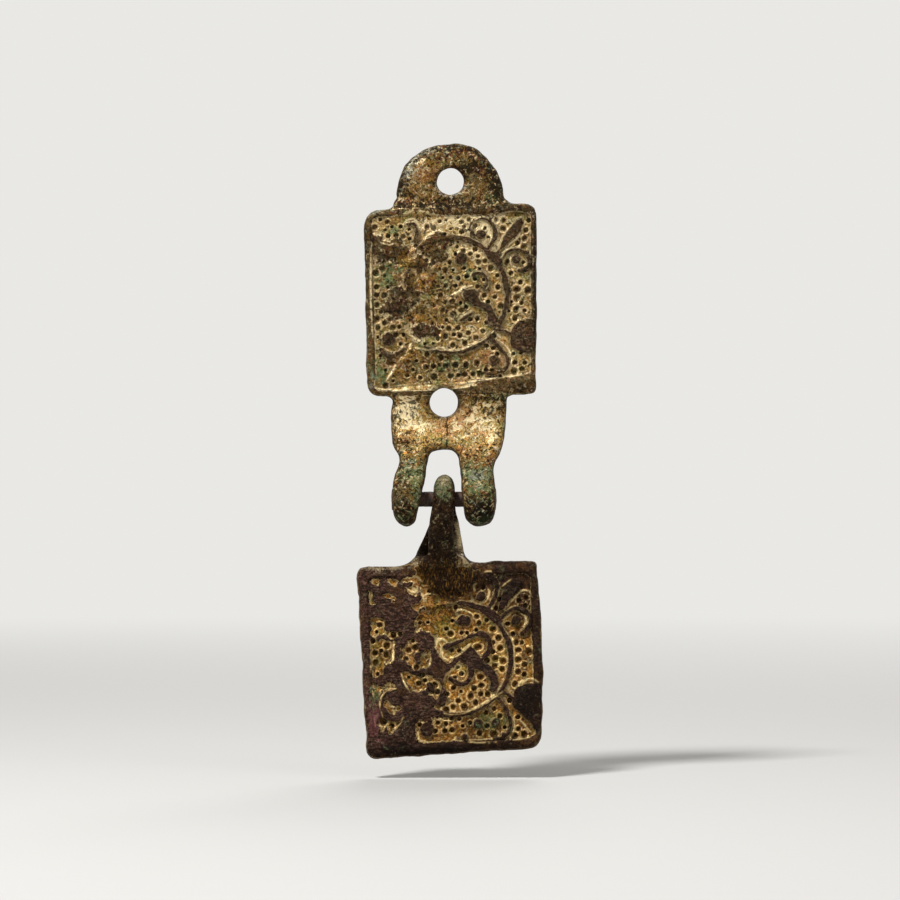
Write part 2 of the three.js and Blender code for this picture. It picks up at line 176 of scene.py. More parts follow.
# Unevenness of the castings: the size of the lumps and the seed of each noise, and its heights
MOUNT_NOISE = {
    "outline": (2.4, 11), "figures": (0.7, 15), "relief": (0.9, 31), "lug": (0.8, 35), "cast": (1.3, 41),
}
PENDANT_NOISE = {"outline": (2.2, 51), "figures": (0.55, 65), "relief": (0.7, 71), "cast": (1.2, 81)}
BAR_NOISE = (0.9, 91)
MOUNT_OUTLINE_HEIGHT = 0.07
FORK_OUTLINE_HEIGHT = 0.05
PENDANT_OUTLINE_HEIGHT = 0.06
MOUNT_RAGGED_HEIGHT = 0.05
PENDANT_RAGGED_HEIGHT = 0.06
CAST_HEIGHT = 0.03
LUG_HEIGHT = 0.03
MOUNT_FIELD_HEIGHT = 0.02
CRUST_HEIGHT = 0.09
PENDANT_FIELD_HEIGHT = 0.022
WORN_HEIGHT = 0.02
FOOT_HEIGHT = 0.03
BAR_HEIGHT = 0.035
BAR_EATEN = 0.03

# How ragged the worn areas, the lines and the loop's foot are, in shares of the figures' noise
MOUNT_RAGGED_SHARES = {"figure": 1.0, "worn": 2.0, "lines": 0.6}
PENDANT_RAGGED_SHARES = {"figure": 0.7, "worn": 3.2, "lines": 0.6, "foot": 4.0}

# Relief: its height, the half width of a figure's slope, and how high figures, traces of
# figures, worn areas, crust and the loop's foot stand, in shares of the relief's height
RELIEF = 0.48
FIGURE_SLOPE = 0.16
FIGURE_RISE_SHARE = 0.95
FAINT_RISE_SHARE = 0.5
WORN_RISE_SHARE = 0.68
CRUST_RISE_SHARE = 0.5
CRUST_FILL_SHARE = 0.6
FOOT_RISE_SHARE = 0.8
FOOT_SPAN = (-0.8, 1.2)
LINE_HEIGHT = 0.1
LINE_WIDTH_SHARES = (0.5, 1.0, 0.5)
LINE_SPAN = (-0.09, 0.06)

# Punched dots: the scattered ones' radius and spacing in pixels, how deep a dot is and how high
# the lip round it stands, and the range of all strengths and of the scattered ones' sizes
DOT_PIXELS = 2.9
DOT_SPACING_PIXELS = 8.3
DOT_DEPTH = 0.34
DOT_LIP = 0.1
MOUNT_DOT_SEED = 21
PENDANT_DOT_SEED = 61
MOUNT_DOT_STRENGTHS = (0.75, 1.0)
PENDANT_DOT_STRENGTHS = (0.85, 1.0)
MOUNT_DOT_SIZES = (0.45, 0.85)
PENDANT_DOT_SIZES = (0.6, 1.0)

# How far dots are scattered over the plate in shares of the ring's radius, how far they stray
# and stand apart in shares of their spacing, and how much crust hides them
DOT_SPREAD_SHARE = 1.7
DOT_STRAY_SHARE = 0.16
DOT_APART_SHARE = 0.78
DOT_HIDING = (0.25, 0.6)

# Shape of one dot in shares of its radius: its dark pit, its hollow, its lip, and the room
# that it needs beside figures, lines and the rim
PIT_SHARES = (0.5, 1.05)
HOLLOW_SHARES = (0.6, 1.3)
HOLLOW_LEAST_SHARE = 0.4
LIP_SHARE = 1.5
LIP_WIDTH_SHARE = 0.32
DOT_REACH_SHARE = 2.2
FIGURE_ROOM_SHARE = 0.3
LINE_ROOM_SHARE = 0.4
RIM_ROOM_SHARE = 0.6
SQUASH_SHARE = 0.15

# Paint: the span over which the gilding's reach is kept, how far from a slope the painted shade
# and grime in its hollows and the painted highlight on its ridges reach and how strongly, and
# the spans over which the painted zones end
REACH_SPAN = 1.2
RIM_GOLD_REACH = 1.5
RELIEF_REACH = 0.4
RELIEF_GAIN = 6
PLATE_SPAN = (-0.1, 0.25)
BARE_SPAN = (0, 0.2)
LUG_BORDER_SPAN = (-1.5, -0.6)
LOW_SIDE_SPAN = (-0.8, 0.8)
STEM_SPAN = (-8.8, -7.2)
CRACK_SPAN = (-0.1, 0.05)
SCRATCH_SPAN = (-0.08, 0.05)
FRONT_SPAN = (0.15, 0.55)
STREAKS_LOST_ON_STEM = 0.75

# Bands along the edges of the plates and holes: the distance from the edge and the width
MOUNT_BRINK = (0.0, 0.45)
PENDANT_BRINK = (0.0, 0.4)
UPPER_HOLE_BRINK = (0.2, 0.3)
LOWER_HOLE_BRINK = (0.35, 0.4)

# Background and floor: colours, the gap under the pendant, and in metres the floor's radius and
# the radii between which it fades into the background
BACKGROUND = "#e9e8e5"
FLOOR_COLOUR = "#bcbbb8"
FLOOR_GAP = 2.5
FLOOR_RADIUS = 2.4
FLOOR_SIDES = 96
FLOOR_ROUGHNESS = 0.9
FLOOR_SPECULAR = 0.2
FADE_RADII = (0.1, 0.6)

# Light: the level from all round, and the lamps with their places and sizes in metres and
# their power in watts
AMBIENT = 0.26
LAMPS = [
    ("key", (-0.2, -0.25, 0.42), 0.1, 3.9),
    ("fill", (0.4, -0.4, 0.12), 0.3, 0.6),
    ("back", (0.1, 0.45, 0.35), 0.3, 1.6),
]

plate_top = MOUNT_PLATE[1] / 2
plate_bottom = -MOUNT_PLATE[1] / 2
bar_height = plate_bottom - BAR_DROP
pendant_centre = (PENDANT_OFFSET, -PENDANT_DROP - PENDANT_PLATE[1] / 2)
swing = frame["joints"][0]
pivot = Vector(swing["pos_m"])


# Curves and distances in the plane of the plates

def smooth_points(points, closed=False, steps=6):
    """Points of a smooth curve through given ones."""
    points = np.asarray(points, dtype=float)
    count = len(points)
    if closed:
        before = np.roll(points, 1, axis=0)
        after = np.roll(points, -1, axis=0)
        further = np.roll(points, -2, axis=0)
        spans = range(count)
    else:
        before = np.vstack([2 * points[:1] - points[1:2], points[:-1]])
        after = np.vstack([points[1:], 2 * points[-1:] - points[-2:-1]])
        further = np.vstack([after[1:], 2 * after[-1:] - after[-2:-1]])
        spans = range(count - 1)
    places = []
    for index in spans:
        p0, p1, p2, p3 = before[index], points[index], after[index], further[index]
        for step in range(steps):
            t = step / steps
            places.append(0.5 * (
                2 * p1 + (p2 - p0) * t + (2 * p0 - 5 * p1 + 4 * p2 - p3) * t * t
                + (3 * p1 - p0 - 3 * p2 + p3) * t ** 3
            ))
    if not closed:
        places.append(points[-1])
    return np.array(places)


def rounded(corners, steps=5):
    """Points round a closed outline whose corners are (x, z, radius)."""
    corners = np.asarray(corners, dtype=float)
    places = []
    for index, (x, z, radius) in enumerate(corners):
        corner = np.array([x, z])
        before = corners[index - 1][:2] - corner
        after = corners[(index + 1) % len(corners)][:2] - corner
        start = corner + radius * before / np.linalg.norm(before)
        end = corner + radius * after / np.linalg.norm(after)
        for t in np.linspace(0, 1, steps + 1):
            places.append((1 - t) ** 2 * start + 2 * t * (1 - t) * corner + t * t * end)
    return np.array(places)


def segment_distance(a, b, x, z):
    """Distance from every (x, z) to the segment a-b, and the share along it."""
    span = b - a
    length = max(float(span @ span), 1e-12)
    share = np.clip(((x - a[0]) * span[0] + (z - a[1]) * span[1]) / length, 0, 1)
    return np.hypot(x - a[0] - share * span[0], z - a[1] - share * span[1]), share


def outline_distance(points, x, z):
    """Signed distance to a closed outline, negative inside."""
    nearest = np.full(x.shape, np.inf)
    inside = np.zeros(x.shape, dtype=bool)
    for a, b in zip(points, np.roll(points, -1, axis=0)):
        distance, _ = segment_distance(a, b, x, z)
        nearest = np.minimum(nearest, distance)
        if a[1] != b[1]:
            crosses = (z < a[1]) != (z < b[1])
            side = a[0] + (z - a[1]) * (b[0] - a[0]) / (b[1] - a[1])
            inside ^= crosses & (x < side)
    return np.where(inside, -nearest, nearest)


def stroke_distance(points, widths, x, z):
    """Signed distance to a curved stroke of changing width."""
    places = smooth_points(points)
    radii = np.interp(
        np.linspace(0, 1, len(places)), np.linspace(0, 1, len(widths)), widths) / 2
    nearest = np.full(x.shape, np.inf)
    for index in range(len(places) - 1):
        distance, share = segment_distance(places[index], places[index + 1], x, z)
        radius = radii[index] + share * (radii[index + 1] - radii[index])
        nearest = np.minimum(nearest, distance - radius)
    return nearest


def soft_max(a, b, radius):
    """The larger of two fields, rounded where they meet."""
    overlap = np.maximum(radius - np.abs(a - b), 0) / radius
    return np.maximum(a, b) + overlap * overlap * radius / 4


def soft_min(a, b, radius):
    """The smaller of two fields, rounded where they meet."""
    return -soft_max(-a, -b, radius)


def ramp(value, low, high):
    """Smooth step from 0 at low to 1 at high."""
    share = np.clip((value - low) / (high - low), 0, 1)
    return share * share * (3 - 2 * share)


# Noise and meshing on a grid

def axis(low, high, step):
    """Even coordinates from low to high or just past it."""
    return low + step * np.arange(int(math.ceil((high - low) / step)) + 1)


def axis_weights(coordinates, cell):
    """Weights that spread coarse random values smoothly along one axis."""
    place = (coordinates - coordinates[0]) / cell
    index = np.floor(place).astype(int)
    share = ramp(place - index, 0, 1)
    weights = np.zeros((len(coordinates), index[-1] + 2), dtype=np.float32)
    rows = np.arange(len(coordinates))
    weights[rows, index] = 1 - share
    weights[rows, index + 1] = share
    return weights


def noise(axes, cell, seed):
    """Smooth noise of about unit size over the grid of the given axes."""
    weights = [axis_weights(axis, cell) for axis in axes]
    random = np.random.default_rng(seed)
    values = random.standard_normal([w.shape[1] for w in weights]).astype(np.float32)
    for dimension, weight in enumerate(weights):
        values = np.moveaxis(np.tensordot(weight, values, axes=(1, dimension)), 0, dimension)
    return values


def rough_noise(axes, cell, seed, octaves=3):
    """Noise of several sizes, each half the last and half as strong."""
    total = 0
    for octave in range(octaves):
        total = total + noise(axes, cell / 2 ** octave, seed + octave) / 2 ** octave
    return total


def surface_net(values, axes):
    """Vertices and quads of the closed surface where values change sign."""
    inside = values < 0
    cells = [n - 1 for n in values.shape]
    count = np.zeros(cells, dtype=np.int8)
    corners = [(i, j, k) for i in (0, 1) for j in (0, 1) for k in (0, 1)]

    def corner_block(field, corner):
        return field[tuple(slice(o, o + c) for o, c in zip(corner, cells))]

    for corner in corners:
        count += corner_block(inside, corner)
    active = (count > 0) & (count < 8)
    place = np.argwhere(active)
    ids = np.full(cells, -1, dtype=np.int64)
    ids[active] = np.arange(len(place))
    total = np.zeros((len(place), 3))
    hits = np.zeros(len(place))
    for a in corners:
        for dimension in range(3):
            if a[dimension]:
                continue
            b = list(a)
            b[dimension] = 1
            value_a = values[tuple((place + a).T)]
            value_b = values[tuple((place + b).T)]
            crosses = (value_a < 0) != (value_b < 0)
            gap = np.where(crosses, value_a - value_b, 1)
            point = np.tile(np.array(a, dtype=float), (len(place), 1))
            point[:, dimension] = value_a / gap
            total[crosses] += point[crosses]
            hits += crosses
    vertices = place + total / hits[:, None]
    for dimension, axis in enumerate(axes):
        vertices[:, dimension] = axis[0] + vertices[:, dimension] * (axis[1] - axis[0])
    quads = []
    for dimension in range(3):
        low = [slice(None)] * 3
        high = [slice(None)] * 3
        low[dimension] = slice(0, -1)
        high[dimension] = slice(1, None)
        leaves = inside[tuple(low)] & ~inside[tuple(high)]
        enters = ~inside[tuple(low)] & inside[tuple(high)]
        u = (dimension + 1) % 3
        v = (dimension + 2) % 3
        for change, flip in ((leaves, False), (enters, True)):
            at = np.argwhere(change)
            ring = []
            for du, dv in ((0, 0), (-1, 0), (-1, -1), (0, -1)):
                cell = at.copy()
                cell[:, u] += du
                cell[:, v] += dv
                ring.append(ids[tuple(cell.T)])
            ring = np.stack(ring, axis=1)
            quads.append(ring[:, ::-1] if flip else ring)
    return vertices, np.concatenate(quads)


# Places read from the photograph

class Reading:
    """Turns pixels of the photograph into x and z of one casting, in millimetres."""

    def __init__(self, origin=(0.0, 0.0), lean=0.0, tilt=0.0, setback=0.0):
        self.origin = origin
        self.lean = lean
        self.tilt = tilt
        self.setback = setback

    def places(self, pixels):
        """The x and z of pixels, on the face of a casting that leans and tilts."""
        pixels = np.asarray(pixels, dtype=float)
        x = (pixels[..., 0] - ORIGIN_PIXEL[0]) * PIXEL - self.origin[0]
        z = (ORIGIN_PIXEL[1] - pixels[..., 1]) * PIXEL - self.origin[1]
        z = (z + self.setback * math.sin(self.tilt)) / math.cos(self.tilt)
        across = x * math.cos(self.lean) + z * math.sin(self.lean)
        up = z * math.cos(self.lean) - x * math.sin(self.lean)
        return np.stack([across, up], axis=-1)

    def spot(self, x, z, place, reach):
        """Soft round mask, its place and its reach across and up in pixels."""
        centre = self.places(place)
        across = (x - centre[0]) / (reach[0] * PIXEL)
        up = (z - centre[1]) / (reach[1] * PIXEL)
        return np.exp(-(across * across + up * up))

    def outlines(self, outlines, x, z, closed_steps=4):
        """Signed distance to the nearest of some outlines, negative inside."""
        nearest = np.full(x.shape, FAR_OFF)
        for outline in outlines:
            curve = smooth_points(self.places(outline), closed=True, steps=closed_steps)
            nearest = np.minimum(nearest, outline_distance(curve, x, z))
        return nearest


MOUNT_READING = Reading()
PENDANT_READING = Reading(
    (pivot.x / MM, pivot.z / MM), LEAN, HANG, LOOP_RADIUS - PLATE_THICKNESS)


def ring_arc(ring, start, end):
    """Pixels along the ring, given as (x, y, radius), from one angle to another in degrees."""
    count = max(int(abs(end - start) / ARC_DEGREES), LEAST_ARC_POINTS)
    turns = np.radians(np.linspace(start, end, count))
    return np.stack([ring[0] + ring[2] * np.cos(turns), ring[1] - ring[2] * np.sin(turns)], axis=1)


# The ornament in pixels of the photograph. Each plate has a beast in a ring, with a leaf and
# two scrolls in each corner, where wear and crust have left them. A stroke is (points, widths), an
# arc of the ring (start, end, widths), a line (points, width), and a boss or dot (x, y, radius).

MOUNT_RING = (449.7, 294.6, 57.5)
MOUNT_ARCS = [
    (124, 100, (3, 6, 5)), (100, -35, (4.5, 5, 5.5, 5.5, 5.5, 5.5, 4.5, 3.5)),
    (-40, -116, (2.5, 4, 4, 3, 2.5, 2)),
]
MOUNT_FAINT_ARCS = [(124, 244, (4, 5, 5, 4))]
MOUNT_SHAPES = [
    # haunch and hind leg
    [(465, 291), (470, 288.5), (476, 290), (479.5, 294), (480, 300), (484, 303), (489, 303.5),
     (492.5, 308), (495, 314), (497, 321), (495, 326.5), (490, 326), (487.5, 320), (487, 314),
     (484, 309), (478, 306.5), (472, 303.5), (466, 299.5), (463, 295)],
    # bud over the back
    [(455, 261), (457.5, 255), (462, 251.5), (466.5, 255), (467.5, 259), (464, 263), (459, 264.5)],
    # leaf at the upper right
    [(495.5, 253), (499.5, 246), (503, 238), (507, 231), (512, 225), (517, 220), (521.5, 217.5),
     (523.5, 221), (521.5, 228), (517, 234.5), (511, 240.5), (505, 246), (500, 251.5)],
    # knot where the leaf and scrolls leave the ring
    [(483, 250), (491, 250.5), (497, 252), (501.5, 257), (502, 263), (500, 269), (494, 263),
     (487, 258)],
    # wedge at the lower right
    [(512.5, 327), (517, 322.5), (522, 320), (528, 319), (538, 320), (538, 346), (531, 352),
     (526, 352.5), (520, 351.5), (515, 349.5), (511, 346), (510, 338)],
]

# Dark worn areas of the mount with uneven edges, and how sharply they end
MOUNT_WORN_SHARPNESS = 0.4
MOUNT_WORN = [
    # forepart of the beast
    [(412, 327), (420, 324), (426, 326), (434, 325), (441, 330), (437, 337), (425, 336), (415, 335)],
    [(391, 292), (399, 286), (405, 290), (412, 286), (418, 293), (415, 303), (408, 311), (397, 308)],
    [(383, 308), (391, 303), (398, 306), (404, 311), (397, 317), (387, 316)],
    [(412, 258), (420, 255), (427, 262), (422, 271), (412, 268)],
    [(407, 271), (412, 270), (414, 280), (412, 292), (407, 290)],
    # under the top of the ring
    [(419, 248), (428, 238), (438, 233), (449, 237), (450, 246), (446, 250), (448, 257),
     (441, 262), (436, 258), (432, 264), (428, 259), (430, 251), (424, 252)],
    # blot at the upper left
    [(373.5, 236), (380, 236.5), (382, 241), (388, 242), (399.5, 240), (402, 246), (406, 250),
     (405, 256), (400, 258), (396, 264), (391, 258), (386, 257), (382, 262), (378, 256), (373.5, 253)],
]
MOUNT_STROKES = [
    ([(470.5, 228), (472, 222.5), (477, 218.7), (483, 218), (488.5, 220), (493, 225),
      (495.5, 231), (494.5, 237), (492, 242), (488, 247.5)],
     (3.5, 3, 2.5, 2.5, 3, 4.5, 6, 5.5, 4.5, 3)),
    ([(499.5, 258.5), (504, 254), (509, 250.5), (515, 249), (521, 250), (526, 253), (529, 258),
      (529, 264), (525.5, 269), (519, 270.5)], (4, 4, 3.5, 3.5, 3.5, 4, 4, 4, 4, 3)),
    ([(407, 224), (412, 223.5), (416, 227), (417, 233), (415, 240.5)], (1.5, 2, 3, 4.5, 4.5)),
    ([(473, 275), (478, 272.3), (483.5, 274), (487, 279), (487.3, 285), (484.5, 290.5)],
     (3, 4, 4, 3.5, 3, 2.5)),
    ([(471, 313), (466, 317), (461, 320)], (2.5, 3.5, 2.5)),
    ([(380.5, 349.5), (386, 354), (392, 356.5), (398, 353), (404, 348.5)], (3, 5.5, 5, 3.5, 3)),
    ([(492, 338), (497, 345), (502, 351), (506.5, 357), (508, 363), (505, 369), (498, 372.5),
      (490, 374), (483, 372)], (3, 4, 4.5, 4, 4, 3.5, 4, 3, 2)),
    ([(499, 329), (505, 331), (511, 334)], (3, 3, 3)),
]
MOUNT_BOSSES = [
    (480.5, 234.5, 5), (472.5, 233.5, 3.2), (516, 259, 4.3), (388, 339, 6.5), (495, 360, 5),
    (405, 250, 4), (427, 253, 3),
]
MOUNT_FAINT_STROKES = [
    ([(437, 302), (440, 311), (442.5, 321), (443, 331), (440, 338), (438, 344)], (6, 6, 5, 4.5, 5, 5)),
]
MOUNT_FAINT_SHAPES = [
    # leaf at the lower left
    [(411, 349), (417, 352), (414, 360), (406, 368), (400, 378), (392, 383), (385, 381),
     (392, 371), (401, 360)],
    # neck, head and back of the beast
    [(399, 266), (410, 258), (424, 265), (434, 272), (436, 284), (428, 290), (415, 287),
     (404, 284), (397, 276)],
    [(430, 296), (440, 298), (450, 298), (463, 288), (466, 296), (452, 306), (440, 306)],
]
MOUNT_DOTS = [
    (520.5, 282, 2.4), (517, 289.5, 3), (528, 290.5, 3), (517, 297.8, 3.3), (521.5, 302.5, 2.3),
    (516, 309.8, 2.7), (515, 318.3, 2.6), (511, 273, 2.3), (503, 228.5, 2.6), (524, 246.5, 2.8),
    (524.5, 238.5, 2.6), (526, 230, 2.4), (517.5, 243, 2), (478.5, 262, 2.2), (485, 261, 2.4),
    (478, 256, 1.9), (491, 268, 2.7), (497.5, 275.5, 2.1), (498, 287, 2.4), (501, 306, 2.3),
    (495, 297, 2), (426.5, 236.5, 3), (427, 227, 2.4), (461.5, 222, 2.3), (464, 226.5, 2),
    (462, 231.5, 2.3), (458, 217.5, 1.7), (484, 224, 1.8), (475.5, 225.5, 1.8), (485, 228, 1.7),
    (376, 273, 3), (376.5, 287, 2.6), (377, 305, 2.6), (384.5, 295.5, 3), (377, 319, 2.7),
    (390.5, 319, 2.6), (378, 328, 2.4), (393, 327.5, 2.4), (384.5, 323, 2.3), (390, 362.5, 3.4),
    (427, 354.5, 2.4), (441, 357.5, 2.6), (426, 367.5, 2.6), (433.5, 366.5, 2.4),
    (445.5, 366, 2.4), (455.5, 365, 2.8), (466, 365.5, 2.8), (477, 363, 2.8), (434, 377, 2.8),
    (465, 374.5, 2.3), (480, 374, 2.6), (514, 371, 3), (515, 362.5, 2), (522, 369, 2.2),
    (453, 345, 2.7), (465, 343, 2.6), (476, 338, 2.3), (468.5, 333, 2.1), (460, 335.5, 2.1),
    (454, 334.5, 2), (453.5, 314.5, 3), (483, 331, 2.2), (462, 310, 2.4), (466, 307, 2),
    (432.5, 323.5, 2), (377, 252, 2.6), (383, 260, 2.4), (375, 245, 2), (381, 312, 2),
]

# Thin bright lines where the gilding stands along a figure or between two, painted with a highlight
MOUNT_LINES = [
    ([(416, 348), (430, 350), (440, 347.5), (450, 350), (460, 349.5), (470, 345.5), (480, 341),
      (488, 336), (497, 328)], 2.2),
    ([(471, 229), (474, 221), (482, 216.5), (490, 218), (497, 226), (498, 238), (492, 249)], 1.7),
    ([(485, 223), (491, 228), (491, 238), (488, 244)], 1.4),
    ([(496, 249), (503, 236), (511, 225), (522, 216.5)], 1.8),
    ([(502, 252), (511, 243), (519, 235), (525, 222)], 1.8),
    ([(501, 258), (508, 249), (517, 247), (526, 250)], 1.6),
    ([(520, 268), (513, 266), (510, 259), (513, 254), (520, 254)], 1.4),
    ([(450, 296), (458, 292), (464, 288), (472, 285.5)], 2.6),
    ([(474, 272), (482, 271), (488, 277), (489, 285), (484, 292)], 1.5),
    ([(480, 293), (480.5, 300), (486, 301.5)], 1.8),
    ([(461, 317), (466, 314), (472, 311)], 1.6),
    ([(498, 340), (506, 346), (511, 354), (511.5, 362), (509, 369)], 1.9),
    ([(386, 349), (392, 352.5), (399, 350), (405, 343)], 1.8),
    ([(411.5, 344), (406, 352.5), (400, 361), (393, 371), (386.5, 380)], 3.0),
    ([(403.5, 225), (407, 220.5), (414, 219.5), (419, 226), (419.5, 234)], 1.8),
    ([(371.5, 242), (371, 270), (371, 300), (373, 338)], 2.6),
    ([(460, 384), (478, 380.5), (500, 377.5), (515, 375.5), (528, 373.5)], 1.9),
    ([(376, 388), (395, 391), (410, 389)], 1.8),
    ([(412, 336), (417, 340), (422, 341)], 3.0),
    ([(378, 241), (388, 245), (396, 243)], 1.6),
    ([(418, 246), (428, 236), (438, 231), (449, 233)], 1.7),
]
# The same bright lines on the pendant, kept gilding painted with a highlight
PENDANT_LINES = [
    ([(444, 712), (455, 713), (466, 711), (476, 706), (486, 700), (494, 693), (500, 685),
      (503, 678)], 2.0),
    ([(450, 657), (457, 655), (464, 649), (470, 643.5)], 2.6),
    ([(436, 646), (437, 641), (442, 638), (447, 641)], 2.8),
    ([(438, 650), (442, 656), (448, 659)], 2.8),
    ([(443, 682), (447, 673), (453, 668), (458, 663)], 1.9),
    ([(499.5, 582), (500, 590), (497.5, 599), (491.5, 608.5)], 2.2),
    ([(501.5, 586), (506, 582.5), (513, 577)], 1.5),
    ([(502, 612), (510, 602), (517, 594), (523, 589.5), (529, 591), (532, 597)], 2.2),
    ([(520.5, 612.5), (525, 615.5), (526, 621), (523, 626)], 2.2),
    ([(474.5, 590), (474, 585), (477, 583)], 2.4),
    ([(486.5, 586), (489, 591), (488, 597), (485, 601), (479, 603)], 2.0),
    ([(511, 613), (504, 619), (503, 625), (508, 633), (513, 640), (514, 652), (514, 668),
      (510, 680)], 1.6),
    ([(514, 687), (521, 681), (530, 677.5), (538, 681)], 2.4),
    ([(510, 711), (513.5, 720), (513, 730), (510, 737)], 2.2),
    ([(468, 740), (481, 741), (496, 740)], 2.0),
    ([(506, 738), (518, 737), (531, 735)], 1.9),
    ([(520, 719), (525, 724), (531, 731)], 1.6),
    ([(404, 716), (399, 723), (393, 730)], 2.0),
    ([(397, 687), (389, 688.5), (383.5, 693), (380.5, 700), (380.5, 708), (383, 715)], 1.4),
    ([(388, 700), (392, 705), (399, 706)], 1.8),
    ([(371, 640), (371, 655), (371.5, 672)], 1.6),
    ([(394, 641), (393.5, 650), (393, 660), (386, 663)], 2.0),
    ([(412, 575.5), (418, 577.5), (422, 582)], 1.3),
    ([(408, 589), (413, 592), (417, 590), (417.5, 586)], 2.2),
    ([(420.5, 587), (422, 594), (424, 601)], 1.6),
    ([(424, 595), (429, 593), (434, 594)], 2.0),
    ([(455, 612), (461, 609), (470, 612), (476, 618)], 1.8),
    ([(402, 673), (405, 682), (410, 690)], 1.8),
    ([(418, 730), (420, 738), (429, 740)], 1.7),
    ([(440, 717), (447, 719), (455, 718)], 1.7),
    ([(428, 666), (431, 660), (430, 654)], 2.0),
    ([(372, 684), (374, 694), (377, 704)], 1.6),
    ([(487, 700), (496, 695), (503, 690)], 1.6),
    ([(480, 574), (489, 571), (497, 576)], 1.2),
]

PENDANT_RING = (454.9, 657.6, 55.6)
PENDANT_ARCS = [
    (97, -38, (2.5, 4.5, 5.5, 6, 6, 5.5, 5.5, 5, 5, 5, 4)), (-42, -64, (2, 2, 2.5)),
    (-66, -118, (3, 5, 5, 5, 5, 5)),
]
PENDANT_FAINT_ARCS = [(97, 112, (3, 2, 1.5))]
PENDANT_SHAPES = [
    # beast: back, hind leg, foreleg and the paw that reaches out to the left
    [(455, 655.5), (462, 651.5), (470, 645.5), (476, 650), (481, 657), (487, 662), (493, 667),
     (496.5, 674), (499, 680.5), (498, 687), (493, 691), (489, 688), (490.5, 681), (487, 674.5),
     (480, 669), (471, 666.5), (463, 662.5), (458, 661.5), (452, 667), (447, 672), (443.5, 679),
     (444.5, 688), (447.5, 696), (444, 703.5), (436, 703.5), (431, 699.5), (437, 697),
     (440.5, 690), (440, 682), (434, 675.5), (426, 672.5), (414, 671), (404, 670.5), (392, 672),
     (384, 670), (386, 664), (394, 661.5), (402, 660), (408, 665.5), (415, 669), (425, 669),
     (431, 665.5), (430, 658), (431, 650), (436, 648), (440, 655), (446, 662), (451, 661)],
    # bud over the back
    [(456, 622), (457.5, 617), (462, 614.5), (469.5, 616), (470, 622.5), (463, 624.5)],
    # leaf at the upper right
    [(497, 612), (499, 604), (501.5, 596), (504, 589.5), (509, 583.5), (515, 579), (521, 580),
     (522, 585), (517.5, 591), (510.5, 599), (503.5, 608)],
    # knot where the leaf and scrolls leave the ring
    [(480, 605), (488, 606), (494, 609.5), (499.5, 615.5), (502, 622), (498, 625), (491, 618.5),
     (484, 612.5)],
    # wedge at the lower right
    [(512.5, 695), (515.5, 687.5), (521.5, 684), (530, 682.5), (542, 684), (541, 702),
     (539, 728), (533.5, 727), (528, 718), (521, 711.5), (515, 706.5), (511.5, 701)],
    # leaf at the lower left
    [(411, 706), (403, 718), (394, 729.5), (384, 739), (384, 750), (402, 750), (409, 735),
     (415, 722), (420, 710)],
]
PENDANT_STROKES = [
    ([(483.5, 657), (488.5, 650), (489.5, 642), (486.5, 636), (480.5, 633), (473, 634.5),
      (464, 638.5), (455, 642.5), (446, 646)], (5, 5.5, 5.5, 5.5, 5.5, 4, 3, 3.5, 6)),
    ([(471, 666), (470.5, 675), (465, 682), (458, 682.5), (451.5, 677.5)], (6, 5.5, 4.5, 4.5, 6)),
    ([(487, 608), (492, 602), (496, 595), (497, 587), (494, 580), (488, 575.5), (481, 574)],
     (4, 5, 5, 4.5, 5, 5.5, 4)),
    ([(500, 621), (503.5, 614.5), (509.5, 610), (517, 608), (524, 609.5), (529, 614),
      (530.5, 620.5), (528, 627), (522, 632)], (4, 3.5, 3.5, 3.5, 4, 4, 4, 4, 4.5)),
    ([(499, 697), (503.5, 704), (508, 712), (510, 721), (508.5, 729), (503, 735), (494, 737)],
     (3.5, 3.5, 4, 4, 4, 4, 3)),
    ([(387, 690.5), (382.5, 697), (381, 705), (384, 712.5), (391, 717), (399, 717.5), (405, 714)],
     (3, 3.5, 4, 4.5, 5, 5, 5)),
    ([(502, 690), (507, 693), (512, 696)], (4, 3.5, 3.5)),
    ([(417.5, 655), (418.5, 661)], (6, 5)),
    ([(430, 684), (433, 689)], (6, 5)),
]
PENDANT_BOSSES = [
    (480.5, 596, 4.8), (515.5, 619.5, 4.6), (477.5, 722, 4.6), (495.5, 720.5, 4.2),
    (395.5, 697.5, 7), (427, 727.5, 7), (465, 735, 3.2), (504, 733, 3),
]
